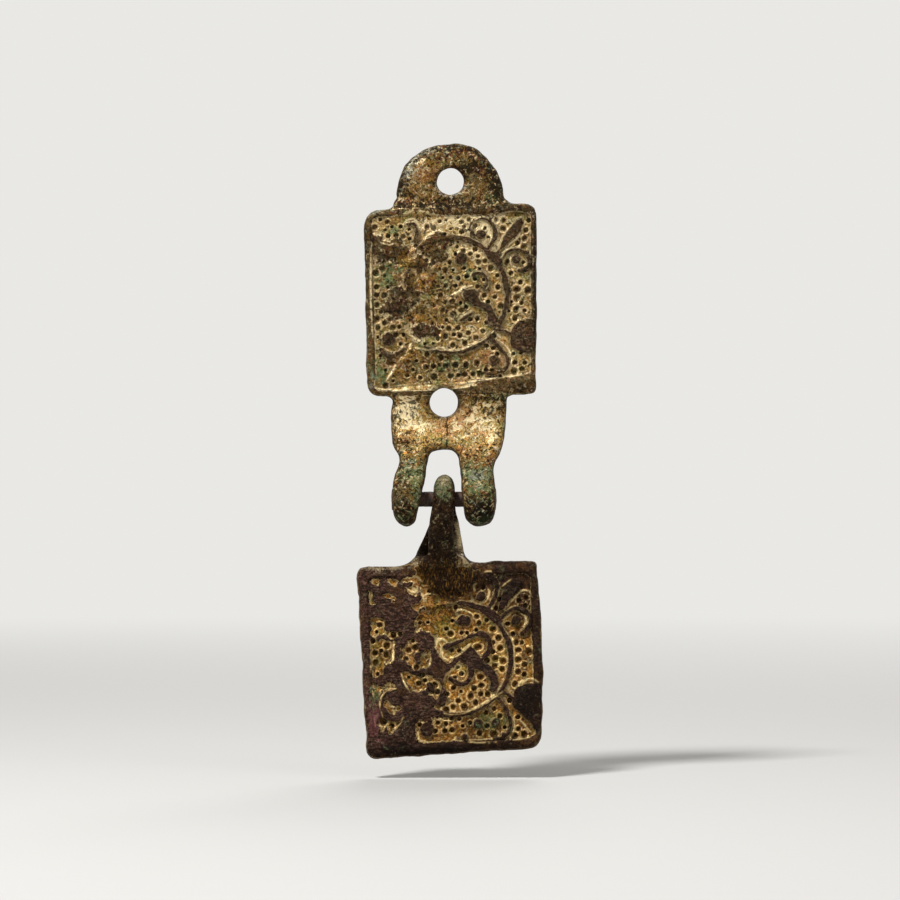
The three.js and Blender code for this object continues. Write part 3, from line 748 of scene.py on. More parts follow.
PENDANT_DOTS = [
    (493, 628.5, 2.9), (498.5, 637, 2.9), (493, 641.5, 2.4), (500, 647, 3), (492.5, 650.5, 2.4),
    (502, 668, 2.4), (516, 641.5, 2.3), (521.5, 641.5, 2.1), (531, 641, 3.3), (518, 649, 2.5),
    (528.5, 650.5, 3), (531.5, 661.5, 3), (524.5, 663.5, 2.7), (518, 658.5, 2.7), (518, 670.5, 2.4),
    (524, 673, 2.2), (461.5, 672.5, 2), (453.5, 686.5, 2.5), (461, 690, 1.7), (470.5, 695, 2.9),
    (480.5, 675.5, 3), (481.5, 684, 2.6), (474, 687, 2.3), (475.5, 701, 2.6), (453, 705.5, 2.5),
    (464.5, 705.5, 2.7), (476.5, 616, 2.4), (479, 622.5, 2.3), (486.5, 619.5, 2), (455.5, 606.5, 2.3),
    (452, 592.5, 3.2), (461, 594, 2.6), (446.5, 628, 2), (478, 646, 3), (461.5, 632, 2), (467, 632, 1.8),
    (507.5, 623, 2), (513, 633, 2.2), (518, 727, 2.4),
    (514, 734, 3), (524, 732.5, 3), (526, 597, 2.3),
    (519, 600, 2.2), (525, 605, 2.2), (387, 644.5, 2.8), (375.5, 652, 2.4), (386.5, 654, 2.4),
    (376, 661.5, 2.7), (384, 720, 2.8), (380, 624, 2.4), (377, 631, 1.8), (392, 724, 2.3),
    (419, 682, 2.2), (409, 676, 1.5), (425, 679, 1.8), (446, 722, 2), (438, 721, 2), (452, 728, 2.2),
    (420, 622, 1.5), (428, 621.5, 1.5), (452.5, 620, 1.6), (483, 586.5, 2.4), (476, 586, 2),
    (445, 729, 2), (486, 711, 2), (494, 707, 2), (470, 721, 2),
]

# Where the pendant is worn to bare metal, and the patches of gold left within that
PENDANT_WORN = [
    [(345, 550), (402, 560), (404, 574), (416, 580), (425, 592), (424, 600), (424, 607),
     (419, 611), (415.5, 619), (415.5, 630), (428, 631), (434.5, 637), (434, 646),
     (438, 654), (446, 664), (448, 668), (442, 680), (446, 690), (445, 700), (436, 705),
     (444, 712), (452, 716), (431, 716), (430, 719), (419, 718), (416, 727), (419, 741),
     (436, 743), (446, 741), (456, 737), (463, 739), (468, 744), (500, 745), (500, 765), (345, 765)],
]
PENDANT_GOLD_LEFT = [
    [(370, 640), (378, 638), (395, 640), (395, 649), (393, 660), (386, 662), (383, 671), (370.5, 673)],
    [(370.5, 620), (376, 618), (383, 620), (385, 628), (382, 634), (371, 634)],
    [(385, 634), (391, 630), (400, 631), (398, 636), (389, 638)],
    [(370, 578), (378, 579), (380, 583), (374, 585), (370, 582)],
    [(389, 578), (396, 578), (399, 583), (393, 585)],
    [(367.5, 592), (373, 590.5), (375, 595), (370, 598)],
    [(383, 595), (389, 594), (396, 595.5), (395, 599), (388, 598.5)],
    [(367, 599), (372, 600), (380, 603.5), (376, 605), (369, 603)],
    [(401, 648), (405, 643), (412, 640), (418, 647), (424, 650), (431, 647), (431, 655), (428, 660),
     (431, 665), (424, 668.5), (414, 668), (407.5, 664), (407, 658), (401, 658)],
    [(401, 671.5), (408, 670.5), (416, 672), (421, 674.5), (428, 672.5), (435.5, 676), (440, 682),
     (441, 689), (440, 695), (436, 697), (430, 693), (424, 688.5), (418, 691), (411, 690), (405.5, 682)],
    [(371.5, 683), (377, 683.5), (380, 688), (380, 695), (378, 704), (375.5, 704), (373, 693)],
    [(386, 683), (391, 682), (395, 686), (390, 690), (384, 690)],
    [(379.5, 716), (388, 717), (398, 720.5), (405, 717), (402, 722), (393, 731), (386, 728), (380, 729)],
    [(385, 698), (390, 700), (394, 706), (399, 706), (397, 710), (388, 710), (384, 705)],
    [(432, 717), (445, 717), (456, 719), (458, 724), (459, 734), (452, 736), (446, 733), (440, 742),
     (436, 741), (438, 731), (433, 724)],
    [(417, 723), (421, 722), (419, 731), (423, 738), (431, 739), (430, 741), (420, 740), (416, 732)],
    [(403, 578), (410, 574), (418, 574), (424, 580), (430, 584), (438, 594), (434, 598), (427, 599),
     (424, 606), (416, 609), (415, 605), (420, 600), (419, 594), (414, 595), (407, 592), (406, 586),
     (411, 583), (404, 581)],
]

# Outlines of the extension with its arms, and of the loop's front strip with its foot and its
# rear strip
FORK_PIXELS = [
    (397, 383), (393.5, 397), (390.8, 412), (390.6, 430), (393.5, 446), (398, 455.5),
    (398.6, 463), (395.5, 474), (392.8, 488), (392.4, 504), (394.4, 516), (398.5, 525),
    (404, 531.5), (411.5, 530.5), (416, 522), (419, 507), (423.8, 485), (427.3, 462),
    (430, 453.5), (436, 450.3), (449, 450), (455.5, 452.5), (459, 459), (460.8, 475),
    (462, 495), (464, 510), (467.5, 522), (473, 531), (481, 531.5), (489, 526), (494, 515),
    (495.2, 500), (494, 482), (493.2, 471), (494.6, 462.5), (499, 455), (502.8, 443),
    (504.8, 428), (506, 410), (506.5, 397), (503, 383),
]
FRONT_STRIP_PIXELS = [
    (445, 470.5), (438.5, 475), (434.5, 486), (433.8, 498), (431.5, 512), (429, 528), (428, 543),
    (425, 555), (417, 564), (414, 571), (419, 580), (429, 590), (440, 598), (452, 601),
    (468, 596), (478, 586), (480, 576), (474, 567), (464, 559), (456, 549), (453.5, 535),
    (453.8, 520), (455, 505), (455.2, 492), (451.5, 476),
]
REAR_STRIP_PIXELS = [
    (445, 471), (438, 476), (436, 494), (433.5, 510), (428, 527), (421, 543), (415, 556),
    (410, 565), (400, 577), (430, 588), (460, 588), (484, 577), (470, 564), (464.5, 554),
    (462, 540), (458.8, 523), (455.7, 509), (453.5, 494), (451.5, 480),
]

# Soft spots, each (x, y, reach across, reach up, amount): where the lug bulges in millimetres,
# where crust fills the mount's ornament, and where the pendant's field is worn smooth
LUG_BULGE = (406, 158, 16, 18, 0.35)
MOUNT_CRUST = [
    (422, 278, 17, 15, 1.0), (402, 262, 13, 11, 0.8), (421, 318, 15, 9, 0.9),
    (400, 300, 15, 16, 0.7), (438, 306, 9, 14, 0.5), (392, 272, 8, 12, 0.6), (424, 300, 14, 12, 0.8),
    (402, 366, 10, 15, 0.8), (376, 364, 5, 22, 0.7),
]
PENDANT_SMOOTH = [
    (434, 613, 24, 19, 1.3), (470, 590, 16, 12, 0.6), (384, 588, 26, 22, 1.5), (384, 700, 22, 26, 0.9),
    (398, 590, 12, 14, 1.0), (410, 684, 14, 12, 0.5), (512, 577, 22, 10, 1.3), (526, 590, 10, 8, 0.6),
]


def line_distance(reading, x, z, lines):
    """Signed distance to the nearest of some thin lines, given as (points, width) in pixels."""
    nearest = np.full(x.shape, FAR_OFF)
    for points, width in lines:
        widths = [share * width * PIXEL for share in LINE_WIDTH_SHARES]
        nearest = np.minimum(nearest, stroke_distance(reading.places(points), widths, x, z))
    return nearest


def figure_distance(reading, x, z, ring, arcs, strokes=(), shapes=(), bosses=()):
    """Signed distance to the nearest raised figure, negative on it."""
    nearest = reading.outlines(shapes, x, z)
    curved = [(ring_arc(ring, start, end), widths) for start, end, widths in arcs]
    for points, widths in [*curved, *strokes]:
        widths = [width * PIXEL for width in widths]
        nearest = np.minimum(nearest, stroke_distance(reading.places(points), widths, x, z))
    for boss_x, boss_y, radius in bosses:
        centre = reading.places((boss_x, boss_y))
        nearest = np.minimum(nearest, np.hypot(x - centre[0], z - centre[1]) - radius * PIXEL)
    return nearest


class Grid:
    """The grid of one solid: its axes, and x, forward and z seen from the front and the side."""

    def __init__(self, x_span, forward_span, z_span, step):
        self.axes = tuple(axis(*span, step) for span in (x_span, forward_span, z_span))
        x_axis, forward_axis, z_axis = self.axes
        self.flat = (x_axis, z_axis)
        self.x, self.z = np.meshgrid(x_axis, z_axis, indexing="ij")
        self.forward = forward_axis[None, :, None]
        self.side_forward, self.side_z = np.meshgrid(forward_axis, z_axis, indexing="ij")


def from_front(field):
    """A field over x and z, ready to be combined with one over the whole grid."""
    return field[:, None, :]


def from_side(field):
    """A field over forward and z, ready to be combined with one over the whole grid."""
    return field[None, :, :]


class Relief:
    """Heights of one decorated plate over x and z, and what they are made from."""

    def __init__(self, grid, reading, field, seed):
        self.flat = grid.flat
        self.reading = reading
        self.x = grid.x
        self.z = grid.z
        self.field = outline_distance(field, self.x, self.z)
        self.rim = ramp(self.field, -FIGURE_SLOPE, 2 * FIGURE_SLOPE)
        self.pit = np.zeros(self.x.shape)
        self.hollow = np.zeros(self.x.shape)
        self.lip = np.zeros(self.x.shape)
        self.random = np.random.default_rng(seed)

    def draw(self, figure, faint, worn, lines, strengths):
        """Keeps the figures, their faint traces, the worn areas and the lines.

        Each is given as a signed distance, negative inside, and strengths is the range of the
        strengths of the dots.
        """
        self.bare = np.minimum(figure, worn)
        self.lines = lines
        self.strengths = strengths
        self.worn = ramp(-worn, -FIGURE_SLOPE, FIGURE_SLOPE)
        self.raised = ramp(-figure, -FIGURE_SLOPE, 0.6 * FIGURE_SLOPE)
        self.faint = ramp(-faint, -2 * FIGURE_SLOPE, 2 * FIGURE_SLOPE)
        self.line = ramp(-lines, *LINE_SPAN)

    def punch_all(self, dots, ring, crust, sizes):
        """The dots seen one by one, and an even scatter between them where no crust hides it."""
        places = []
        for x, y, radius in dots:
            places.append((x, y))
            self.punch(self.reading.places((x, y)), radius * PIXEL)
        reach = int(DOT_SPREAD_SHARE * ring[2] / DOT_SPACING_PIXELS)
        for row in range(-reach, reach + 1):
            for column in range(-reach, reach + 1):
                x = ring[0] + (column + 0.5 * (row % 2)) * DOT_SPACING_PIXELS
                y = ring[1] + row * DOT_SPACING_PIXELS
                x += self.random.normal() * DOT_STRAY_SHARE * DOT_SPACING_PIXELS
                y += self.random.normal() * DOT_STRAY_SHARE * DOT_SPACING_PIXELS
                size = DOT_PIXELS * self.random.uniform(*sizes)
                i, k = self.cell(self.reading.places((x, y)))
                hidden = crust[i, k] > self.random.uniform(*DOT_HIDING)
                apart = DOT_APART_SHARE * DOT_SPACING_PIXELS
                clear = all(math.hypot(x - a, y - b) > apart for a, b in places)
                if clear and not hidden:
                    places.append((x, y))
                    self.punch(self.reading.places((x, y)), size * PIXEL)

    def cell(self, place):
        """The grid cell of a place, or the nearest one inside the grid."""
        return [
            int(np.clip(np.searchsorted(axis, value), 1, len(axis) - 2))
            for axis, value in zip(self.flat, place)
        ]

    def punch(self, place, radius):
        """One punched dot, left out where it would fall on a figure, a line or the rim."""
        x, z = place
        i, k = self.cell(place)
        if self.bare[i, k] < FIGURE_ROOM_SHARE * radius or self.field[i, k] > -RIM_ROOM_SHARE * radius:
            return
        if self.lines[i, k] < LINE_ROOM_SHARE * radius:
            return
        x_axis, z_axis = self.flat
        reach = int(DOT_REACH_SHARE * radius / (x_axis[1] - x_axis[0])) + 1
        near_x = slice(max(i - reach, 0), i + reach + 1)
        near_z = slice(max(k - reach, 0), k + reach + 1)
        squash = self.random.uniform(-SQUASH_SHARE, SQUASH_SHARE, 2)
        across = (x_axis[near_x][:, None] - x) * (1 + squash[0])
        up = (z_axis[near_z][None, :] - z) * (1 + squash[1])
        distance = np.hypot(across, up)
        strength = self.random.uniform(*self.strengths)
        pit = strength * (1 - ramp(distance, PIT_SHARES[0] * radius, PIT_SHARES[1] * radius))
        hollow = 1 - ramp(distance, HOLLOW_SHARES[0] * radius, HOLLOW_SHARES[1] * radius)
        hollow = (HOLLOW_LEAST_SHARE + (1 - HOLLOW_LEAST_SHARE) * strength) * hollow
        lip = np.exp(-((distance - LIP_SHARE * radius) / (LIP_WIDTH_SHARE * radius)) ** 2)
        for grid, added in ((self.pit, pit), (self.hollow, hollow), (self.lip, lip)):
            grid[near_x, near_z] = np.maximum(grid[near_x, near_z], added)

    def level(self):
        """Height over the recessed field: the rim, the figures and what is worn level."""
        raised = np.maximum(FIGURE_RISE_SHARE * self.raised, FAINT_RISE_SHARE * self.faint)
        level = RELIEF * np.maximum(self.rim, np.maximum(raised, WORN_RISE_SHARE * self.worn))
        level = level - DOT_DEPTH * self.hollow + DOT_LIP * self.lip * (1 - self.raised)
        return level + LINE_HEIGHT * self.line


def plate_corners(shares, size, radius, centre=(0, 0)):
    """A plate's outline from shares of half its width, half its height and a corner radius."""
    return rounded([
        (centre[0] + x * size[0] / 2, centre[1] + z * size[1] / 2, r * radius)
        for x, z, r in shares
    ])


def tinted(reading, x, z, base, spots):
    """A base amount with soft spots on it, each (x, y, reach across, reach up, amount) in pixels."""
    total = base
    for place_x, place_y, across, up, amount in spots:
        total = total + amount * reading.spot(x, z, (place_x, place_y), (across, up))
    return total


# The mount

def mount_relief(grid):
    """The mount's relief, and the height of its face over the back."""
    x, z = grid.x, grid.z
    field = plate_corners(MOUNT_FIELD_SHARES, MOUNT_PLATE, FIELD_CORNER_RADIUS)
    relief = Relief(grid, MOUNT_READING, field, MOUNT_DOT_SEED)
    figure = figure_distance(
        MOUNT_READING, x, z, MOUNT_RING, MOUNT_ARCS, MOUNT_STROKES, MOUNT_SHAPES, MOUNT_BOSSES)
    faint = figure_distance(
        MOUNT_READING, x, z, MOUNT_RING, MOUNT_FAINT_ARCS, MOUNT_FAINT_STROKES, MOUNT_FAINT_SHAPES)
    worn = MOUNT_WORN_SHARPNESS * MOUNT_READING.outlines(MOUNT_WORN, x, z)
    lines = line_distance(MOUNT_READING, x, z, MOUNT_LINES)
    ragged = MOUNT_RAGGED_HEIGHT * rough_noise(grid.flat, *MOUNT_NOISE["figures"])
    shares = MOUNT_RAGGED_SHARES
    relief.draw(
        figure + shares["figure"] * ragged, faint, worn + shares["worn"] * ragged,
        lines + shares["lines"] * ragged, MOUNT_DOT_STRENGTHS)
    crust = np.clip(tinted(MOUNT_READING, x, z, 0.0, MOUNT_CRUST), 0, 1)
    relief.punch_all(MOUNT_DOTS, MOUNT_RING, crust, MOUNT_DOT_SIZES)
    level = relief.level()
    level += CRUST_FILL_SHARE * crust * (CRUST_RISE_SHARE * RELIEF - level)
    roughness = MOUNT_FIELD_HEIGHT + CRUST_HEIGHT * crust
    level += roughness * rough_noise(grid.flat, *MOUNT_NOISE["relief"])
    return relief, PLATE_THICKNESS - RELIEF + level


def lug_solid(grid, wobble):
    """The round-headed lug, and the signed distance to its outline."""
    x, z = grid.x, grid.z
    centre_z = plate_top + LUG_CENTRE_RISE
    edge = np.where(
        z > centre_z, np.hypot(x, z - centre_z) - LUG_RADIUS,
        np.abs(x) - LUG_RADIUS - LUG_FOOT_SPREAD * ramp(centre_z - z, 0, LUG_CENTRE_RISE))
    edge -= tinted(MOUNT_READING, x, z, 0.0, [LUG_BULGE])
    edge = np.maximum(edge, plate_top - LUG_ROOT - z) + MOUNT_OUTLINE_HEIGHT * wobble - LUG_GROWTH
    height = LUG_THICKNESS - LUG_EDGE_FALL * ramp(edge, *LUG_EDGE_SPAN)
    height = height + LUG_HEIGHT * rough_noise(grid.flat, *MOUNT_NOISE["lug"])
    return soft_max(from_front(edge), grid.forward - from_front(height), MOUNT_ROUNDING["lug"]), edge


def fork_profile():
    """Side view of the extension and arms, forward and z: a slope that ends round the bar."""
    shoulder = plate_bottom - SHOULDER_DROP
    rise = shoulder - bar_height
    setback = BAR_SETBACK - EXTENSION_THICKNESS
    spread = math.acos(BAR_SETBACK / math.hypot(rise, setback))
    first = math.atan2(rise, setback) + spread
    turns = np.linspace(math.pi - first, -math.pi, FORK_ARC_POINTS)
    arc = [(BAR_SETBACK + BAR_SETBACK * math.cos(t), bar_height + BAR_SETBACK * math.sin(t))
           for t in turns]
    top = plate_bottom + FORK_ROOT
    corner = np.array([EXTENSION_THICKNESS, shoulder])
    above = corner + (0, BEND_REACH)
    below = corner + BEND_REACH * (arc[0] - corner) / np.linalg.norm(arc[0] - corner)
    bend = [(1 - t) ** 2 * above + 2 * t * (1 - t) * corner + t * t * below
            for t in np.linspace(0, 1, FORK_BEND_POINTS)]
    return np.array([
        (-BACK_OVERRUN, top), (EXTENSION_THICKNESS, top), *bend, *arc, (-BACK_OVERRUN, bar_height)])


def fork_solid(grid, wobble):
    """The extension and the two arms, from their front view and their side view."""
    front = MOUNT_READING.outlines([FORK_PIXELS], grid.x, grid.z) + FORK_OUTLINE_HEIGHT * wobble
    side = outline_distance(fork_profile(), grid.side_forward, grid.side_z)
    return soft_max(from_front(front), from_side(side), MOUNT_ROUNDING["fork"])


def with_rivet_holes(grid, solid):
    """The solid with its two rivet holes, and the distances outward from their walls."""
    upper = np.hypot(grid.x, grid.z - plate_top - UPPER_HOLE_RISE)
    solid = soft_max(solid, from_front(UPPER_HOLE_RADIUS - upper), MOUNT_ROUNDING["upper_hole"])
    lower_x = grid.x - LINK_OFFSET
    lower_z = grid.z - plate_bottom + LOWER_HOLE_DROP
    lower = np.hypot(lower_x, lower_z)
    turn = (lower_x - lower_z) / np.maximum(lower, 0.1)
    flare = LOWER_HOLE_FLARE * from_front(ramp(turn, *FLARE_TURN_SPAN))
    flare = flare * ramp(grid.forward, *FLARE_DEPTH_SPAN)
    wall = from_front(LOWER_HOLE_RADIUS - lower)
    solid = soft_max(solid, wall + flare, MOUNT_ROUNDING["lower_hole"])
    return solid, upper - UPPER_HOLE_RADIUS, lower - LOWER_HOLE_RADIUS


def mount_solid(step):
    """The mount as a field over its grid, with its relief and the distances its paint needs."""
    top = plate_top + LUG_CENTRE_RISE + LUG_RADIUS + GRID_MARGIN
    grid = Grid(MOUNT_SPAN_X, MOUNT_SPAN_FORWARD, (bar_height - BAR_SETBACK - GRID_MARGIN, top), step)
    relief, height = mount_relief(grid)
    wobble = rough_noise(grid.flat, *MOUNT_NOISE["outline"])
    outline = plate_corners(MOUNT_CORNER_SHARES, MOUNT_PLATE, MOUNT_CORNER_RADIUS)
    edge = outline_distance(outline, grid.x, grid.z) + MOUNT_OUTLINE_HEIGHT * wobble
    plate = soft_max(from_front(edge), grid.forward - from_front(height), MOUNT_ROUNDING["plate"])
    lug, lug_edge = lug_solid(grid, wobble)
    solid = soft_min(plate, lug, MOUNT_ROUNDING["join"])
    solid = soft_min(solid, fork_solid(grid, wobble), MOUNT_ROUNDING["join"])
    solid = soft_max(solid, -grid.forward, MOUNT_ROUNDING["back"])
    solid, upper, lower = with_rivet_holes(grid, solid)
    from_axis = np.hypot(grid.side_forward - BAR_SETBACK, grid.side_z - bar_height)
    bar_hole = BAR_RADIUS + BAR_HOLE_CLEARANCE - from_axis
    solid = soft_max(solid, from_side(bar_hole), MOUNT_ROUNDING["bar_hole"])
    solid = solid + CAST_HEIGHT * rough_noise(grid.axes, *MOUNT_NOISE["cast"])
    return grid.axes, solid, relief, {
        "plate": edge, "height": height, "lug": lug_edge, "upper": upper, "lower": lower}


# The pendant

def pendant_relief(grid, front):
    """The pendant's relief, the height of its face over the back, and the loop's foot on it."""
    x, z = grid.x, grid.z
    field = plate_corners(PENDANT_FIELD_SHARES, PENDANT_PLATE, FIELD_CORNER_RADIUS, pendant_centre)
    relief = Relief(grid, PENDANT_READING, field, PENDANT_DOT_SEED)
    figure = figure_distance(
        PENDANT_READING, x, z, PENDANT_RING, PENDANT_ARCS, PENDANT_STROKES, PENDANT_SHAPES,
        PENDANT_BOSSES)
    faint = figure_distance(PENDANT_READING, x, z, PENDANT_RING, PENDANT_FAINT_ARCS)
    worn = np.maximum(
        PENDANT_READING.outlines(PENDANT_WORN, x, z, 1),
        -PENDANT_READING.outlines(PENDANT_GOLD_LEFT, x, z))
    lines = line_distance(PENDANT_READING, x, z, PENDANT_LINES)
    ragged = PENDANT_RAGGED_HEIGHT * rough_noise(grid.flat, *PENDANT_NOISE["figures"])
    shares = PENDANT_RAGGED_SHARES
    relief.draw(
        figure + shares["figure"] * ragged, faint, worn + shares["worn"] * ragged,
        lines + shares["lines"] * ragged, PENDANT_DOT_STRENGTHS)
    smooth = tinted(PENDANT_READING, x, z, 0.0, PENDANT_SMOOTH)
    relief.punch_all(PENDANT_DOTS, PENDANT_RING, smooth, PENDANT_DOT_SIZES)
    foot = ramp(-front + shares["foot"] * ragged, *FOOT_SPAN)
    level = relief.level()
    level += foot * (FOOT_RISE_SHARE * RELIEF - level)
    roughness = PENDANT_FIELD_HEIGHT + WORN_HEIGHT * relief.worn + FOOT_HEIGHT * foot
    level += roughness * rough_noise(grid.flat, *PENDANT_NOISE["relief"])
    return relief, PLATE_THICKNESS - RELIEF + level, foot


def loop_profile():
    """Side view of the loop, forward and z, counted from the bar's axis."""
    reach = PENDANT_DROP + LOOP_FOOT_LENGTH
    face = PLATE_THICKNESS - LOOP_RADIUS
    behind = -LOOP_RADIUS - BACK_OVERRUN
    over = [(LOOP_RADIUS * math.cos(t), LOOP_RADIUS * math.sin(t))
            for t in np.linspace(math.pi, 0, LOOP_TOP_POINTS)]
    a = np.array([LOOP_RADIUS, 0])
    b = np.array([LOOP_RADIUS, -LOOP_BEND_SHARES[0] * reach])
    c = np.array([BAR_RADIUS + face, -LOOP_BEND_SHARES[1] * reach])
    d = np.array([face, -reach])
    down = [(1 - t) ** 3 * a + 3 * t * (1 - t) ** 2 * b + 3 * t * t * (1 - t) * c + t ** 3 * d
            for t in np.linspace(LOOP_BEND_START_SHARE, 1, LOOP_FRONT_POINTS)]
    return np.array([
        (behind, -reach), (behind, 0), (-LOOP_RADIUS, 0), *over[1:], *down, (face - LOOP_ROOT, -reach)])


def loop_opening():
    """The pear-shaped opening round the bar, forward and z from the bar's axis."""
    low = LOOP_OPENING_END - LOOP_OPENING_LENGTH
    radius = BAR_RADIUS + LOOP_CLEARANCE
    heading = math.atan2(low, -LOOP_OPENING_SETBACK)
    spread = math.acos((radius - LOOP_OPENING_END) / math.hypot(LOOP_OPENING_SETBACK, low))
    upper = np.linspace(heading + spread, heading - spread + 2 * math.pi, OPENING_POINTS[0])
    lower = np.linspace(heading - spread, heading + spread, OPENING_POINTS[1])
    return np.array(
        [(radius * math.cos(t), radius * math.sin(t)) for t in upper]
        + [(LOOP_OPENING_END * math.cos(t) - LOOP_OPENING_SETBACK,
            LOOP_OPENING_END * math.sin(t) + low) for t in lower])


def loop_solid(grid, front):
    """The loop without its opening: a narrow strip in front and a wider one behind."""
    profile = outline_distance(loop_profile(), grid.side_forward, grid.side_z)
    rear = PENDANT_READING.outlines([REAR_STRIP_PIXELS], grid.x, grid.z)
    share = ramp(grid.forward, *LOOP_STRIP_SPAN)
    width = from_front(rear) * (1 - share) + from_front(front) * share
    return soft_max(width, from_side(profile), PENDANT_ROUNDING["loop"])


def pendant_solid(step):
    """The pendant as a field about the bar's axis, with its relief and what its paint needs."""
    half_depth = LOOP_RADIUS + LOOP_MARGIN
    bottom = -PENDANT_DROP - PENDANT_PLATE[1] - GRID_MARGIN
    grid = Grid(PENDANT_SPAN_X, (-half_depth, half_depth), (bottom, half_depth), step)
    back = -LOOP_RADIUS
    front = PENDANT_READING.outlines([FRONT_STRIP_PIXELS], grid.x, grid.z)
    relief, height, foot = pendant_relief(grid, front)
    wobble = rough_noise(grid.flat, *PENDANT_NOISE["outline"])
    outline = plate_corners(PENDANT_CORNER_SHARES, PENDANT_PLATE, PENDANT_CORNER_RADIUS, pendant_centre)
    edge = outline_distance(outline, grid.x, grid.z) + PENDANT_OUTLINE_HEIGHT * wobble
    face = grid.forward - back - from_front(height)
    plate = soft_max(from_front(edge), face, PENDANT_ROUNDING["plate"])
    solid = soft_min(plate, loop_solid(grid, front), PENDANT_ROUNDING["join"])
    opening = outline_distance(loop_opening(), grid.side_forward, grid.side_z)
    solid = soft_max(solid, -from_side(opening), PENDANT_ROUNDING["opening"])
    solid = soft_max(solid, back - grid.forward, PENDANT_ROUNDING["back"])
    solid = solid + CAST_HEIGHT * rough_noise(grid.axes, *PENDANT_NOISE["cast"])
    return grid.axes, solid, relief, {"foot": foot, "plate": edge, "height": height}


# The bar

def bar_solid(step):
    """The riveted iron bar as a field, in the mount's x, forward and z."""
    low = LINK_OFFSET - ARM_REACH - BAR_HOLE_CLEARANCE / 2
    high = LINK_OFFSET + ARM_REACH + BAR_HOLE_CLEARANCE / 2
    span = HEAD_RADIUS + BAR_MARGIN
    grid = Grid(
        (low - HEAD_THICKNESS - BAR_MARGIN, high + HEAD_THICKNESS + BAR_MARGIN),
        (BAR_SETBACK - span, BAR_SETBACK + span), (bar_height - span, bar_height + span), step)
    x = grid.axes[0][:, None, None]
    across = from_side(np.hypot(grid.side_forward - BAR_SETBACK, grid.side_z - bar_height))
    ends = np.maximum(low - x, x - high) - HEAD_THICKNESS / 2
    solid = soft_max(across - BAR_RADIUS, ends, BAR_ROUNDING["shaft"])
    for face, side in ((low, -1), (high, 1)):
        out = side * (x - face)
        crown = HEAD_THICKNESS * (1 - HEAD_FALL_SHARE * (across / HEAD_RADIUS) ** 2)
        dome = np.maximum(-out - HEAD_DEPTH, out - crown)
        head = soft_max(across - HEAD_RADIUS + HEAD_INSET, dome, BAR_ROUNDING["head"])
        solid = np.minimum(solid, head)
    eaten = BAR_EATEN + BAR_HEIGHT * rough_noise(grid.axes, *BAR_NOISE)
    return grid.axes, solid + eaten


# Meshes

def mesh_object(name, places, quads):
    """A mesh object from vertices and quads, its faces pointing out."""
    corners = places[quads]
    across = np.cross(corners[:, 1] - corners[:, 0], corners[:, 2] - corners[:, 0])
    if np.einsum("ij,ij->", corners[:, 0], across) < 0:
        quads = quads[:, ::-1]
    mesh = bpy.data.meshes.new(name)
    mesh.vertices.add(len(places))
    mesh.vertices.foreach_set("co", places.astype(np.float32).ravel())
    mesh.loops.add(quads.size)
    mesh.loops.foreach_set("vertex_index", quads.astype(np.int32).ravel())
    mesh.polygons.add(len(quads))
    mesh.polygons.foreach_set("loop_start", np.arange(0, quads.size, 4, dtype=np.int32))
    mesh.update(calc_edges=True)
    mesh.validate()
    piece = bpy.data.objects.new(name, mesh)
    bpy.context.collection.objects.link(piece)
    return piece


def solid_object(name, axes, values):
    """The closed surface of a field as an object in millimetres, y pointing backwards."""
    vertices, quads = surface_net(values, axes)
    vertices[:, 1] *= -1
    piece = mesh_object(name, vertices, quads)
    piece.data.polygons.foreach_set("use_smooth", np.ones(len(piece.data.polygons), dtype=bool))
    return piece


def thin_out(piece, may_thin, share):
    """Fewer faces where the weights allow it, the rest left as it was."""
    group = piece.vertex_groups.new(name="may_thin")
    group.add(np.flatnonzero(may_thin).tolist(), 1.0, "REPLACE")
    modifier = piece.modifiers.new("thin", "DECIMATE")
    modifier.ratio = share
    modifier.vertex_group = group.name
    graph = bpy.context.evaluated_depsgraph_get()
    thinned = bpy.data.meshes.new_from_object(piece.evaluated_get(graph))
    piece.modifiers.clear()
    piece.vertex_groups.clear()
    piece.data = thinned


def vertex_values(piece, what):
    """Places ("co") or normals ("normal") of a piece's vertices."""
    values = np.empty(len(piece.data.vertices) * 3, dtype=np.float32)
    piece.data.vertices.foreach_get(what, values)
    return values.reshape(-1, 3).astype(float)


# Paint

def sample(field, axes, x, z):
    """Values of a grid field at any places."""
    cells = []
    shares = []
    for axis, places in zip(axes, (x, z)):
        index = np.clip((places - axis[0]) / (axis[1] - axis[0]), 0, len(axis) - 1.001)
        cells.append(index.astype(int))
        shares.append(index - cells[-1])
    i, k = cells
    u, v = shares
    return ((field[i, k] * (1 - u) + field[i + 1, k] * u) * (1 - v)
            + (field[i, k + 1] * (1 - u) + field[i + 1, k + 1] * u) * v)


def blurred(values, reach):
    """A grid smoothed over reach cells to each side."""
    for dimension in (0, 1):
        kernel = np.hanning(2 * reach + 3)[1:-1]
        kernel /= kernel.sum()
        padded = np.pad(values, [(reach, reach) if d == dimension else (0, 0) for d in (0, 1)], "edge")
        values = np.apply_along_axis(np.convolve, dimension, padded, kernel, "valid")
    return values


def brink(distance, band):
    """A soft band along an edge, given as its distance from the edge and its width."""
    return np.exp(-((distance - band[0]) / band[1]) ** 2)


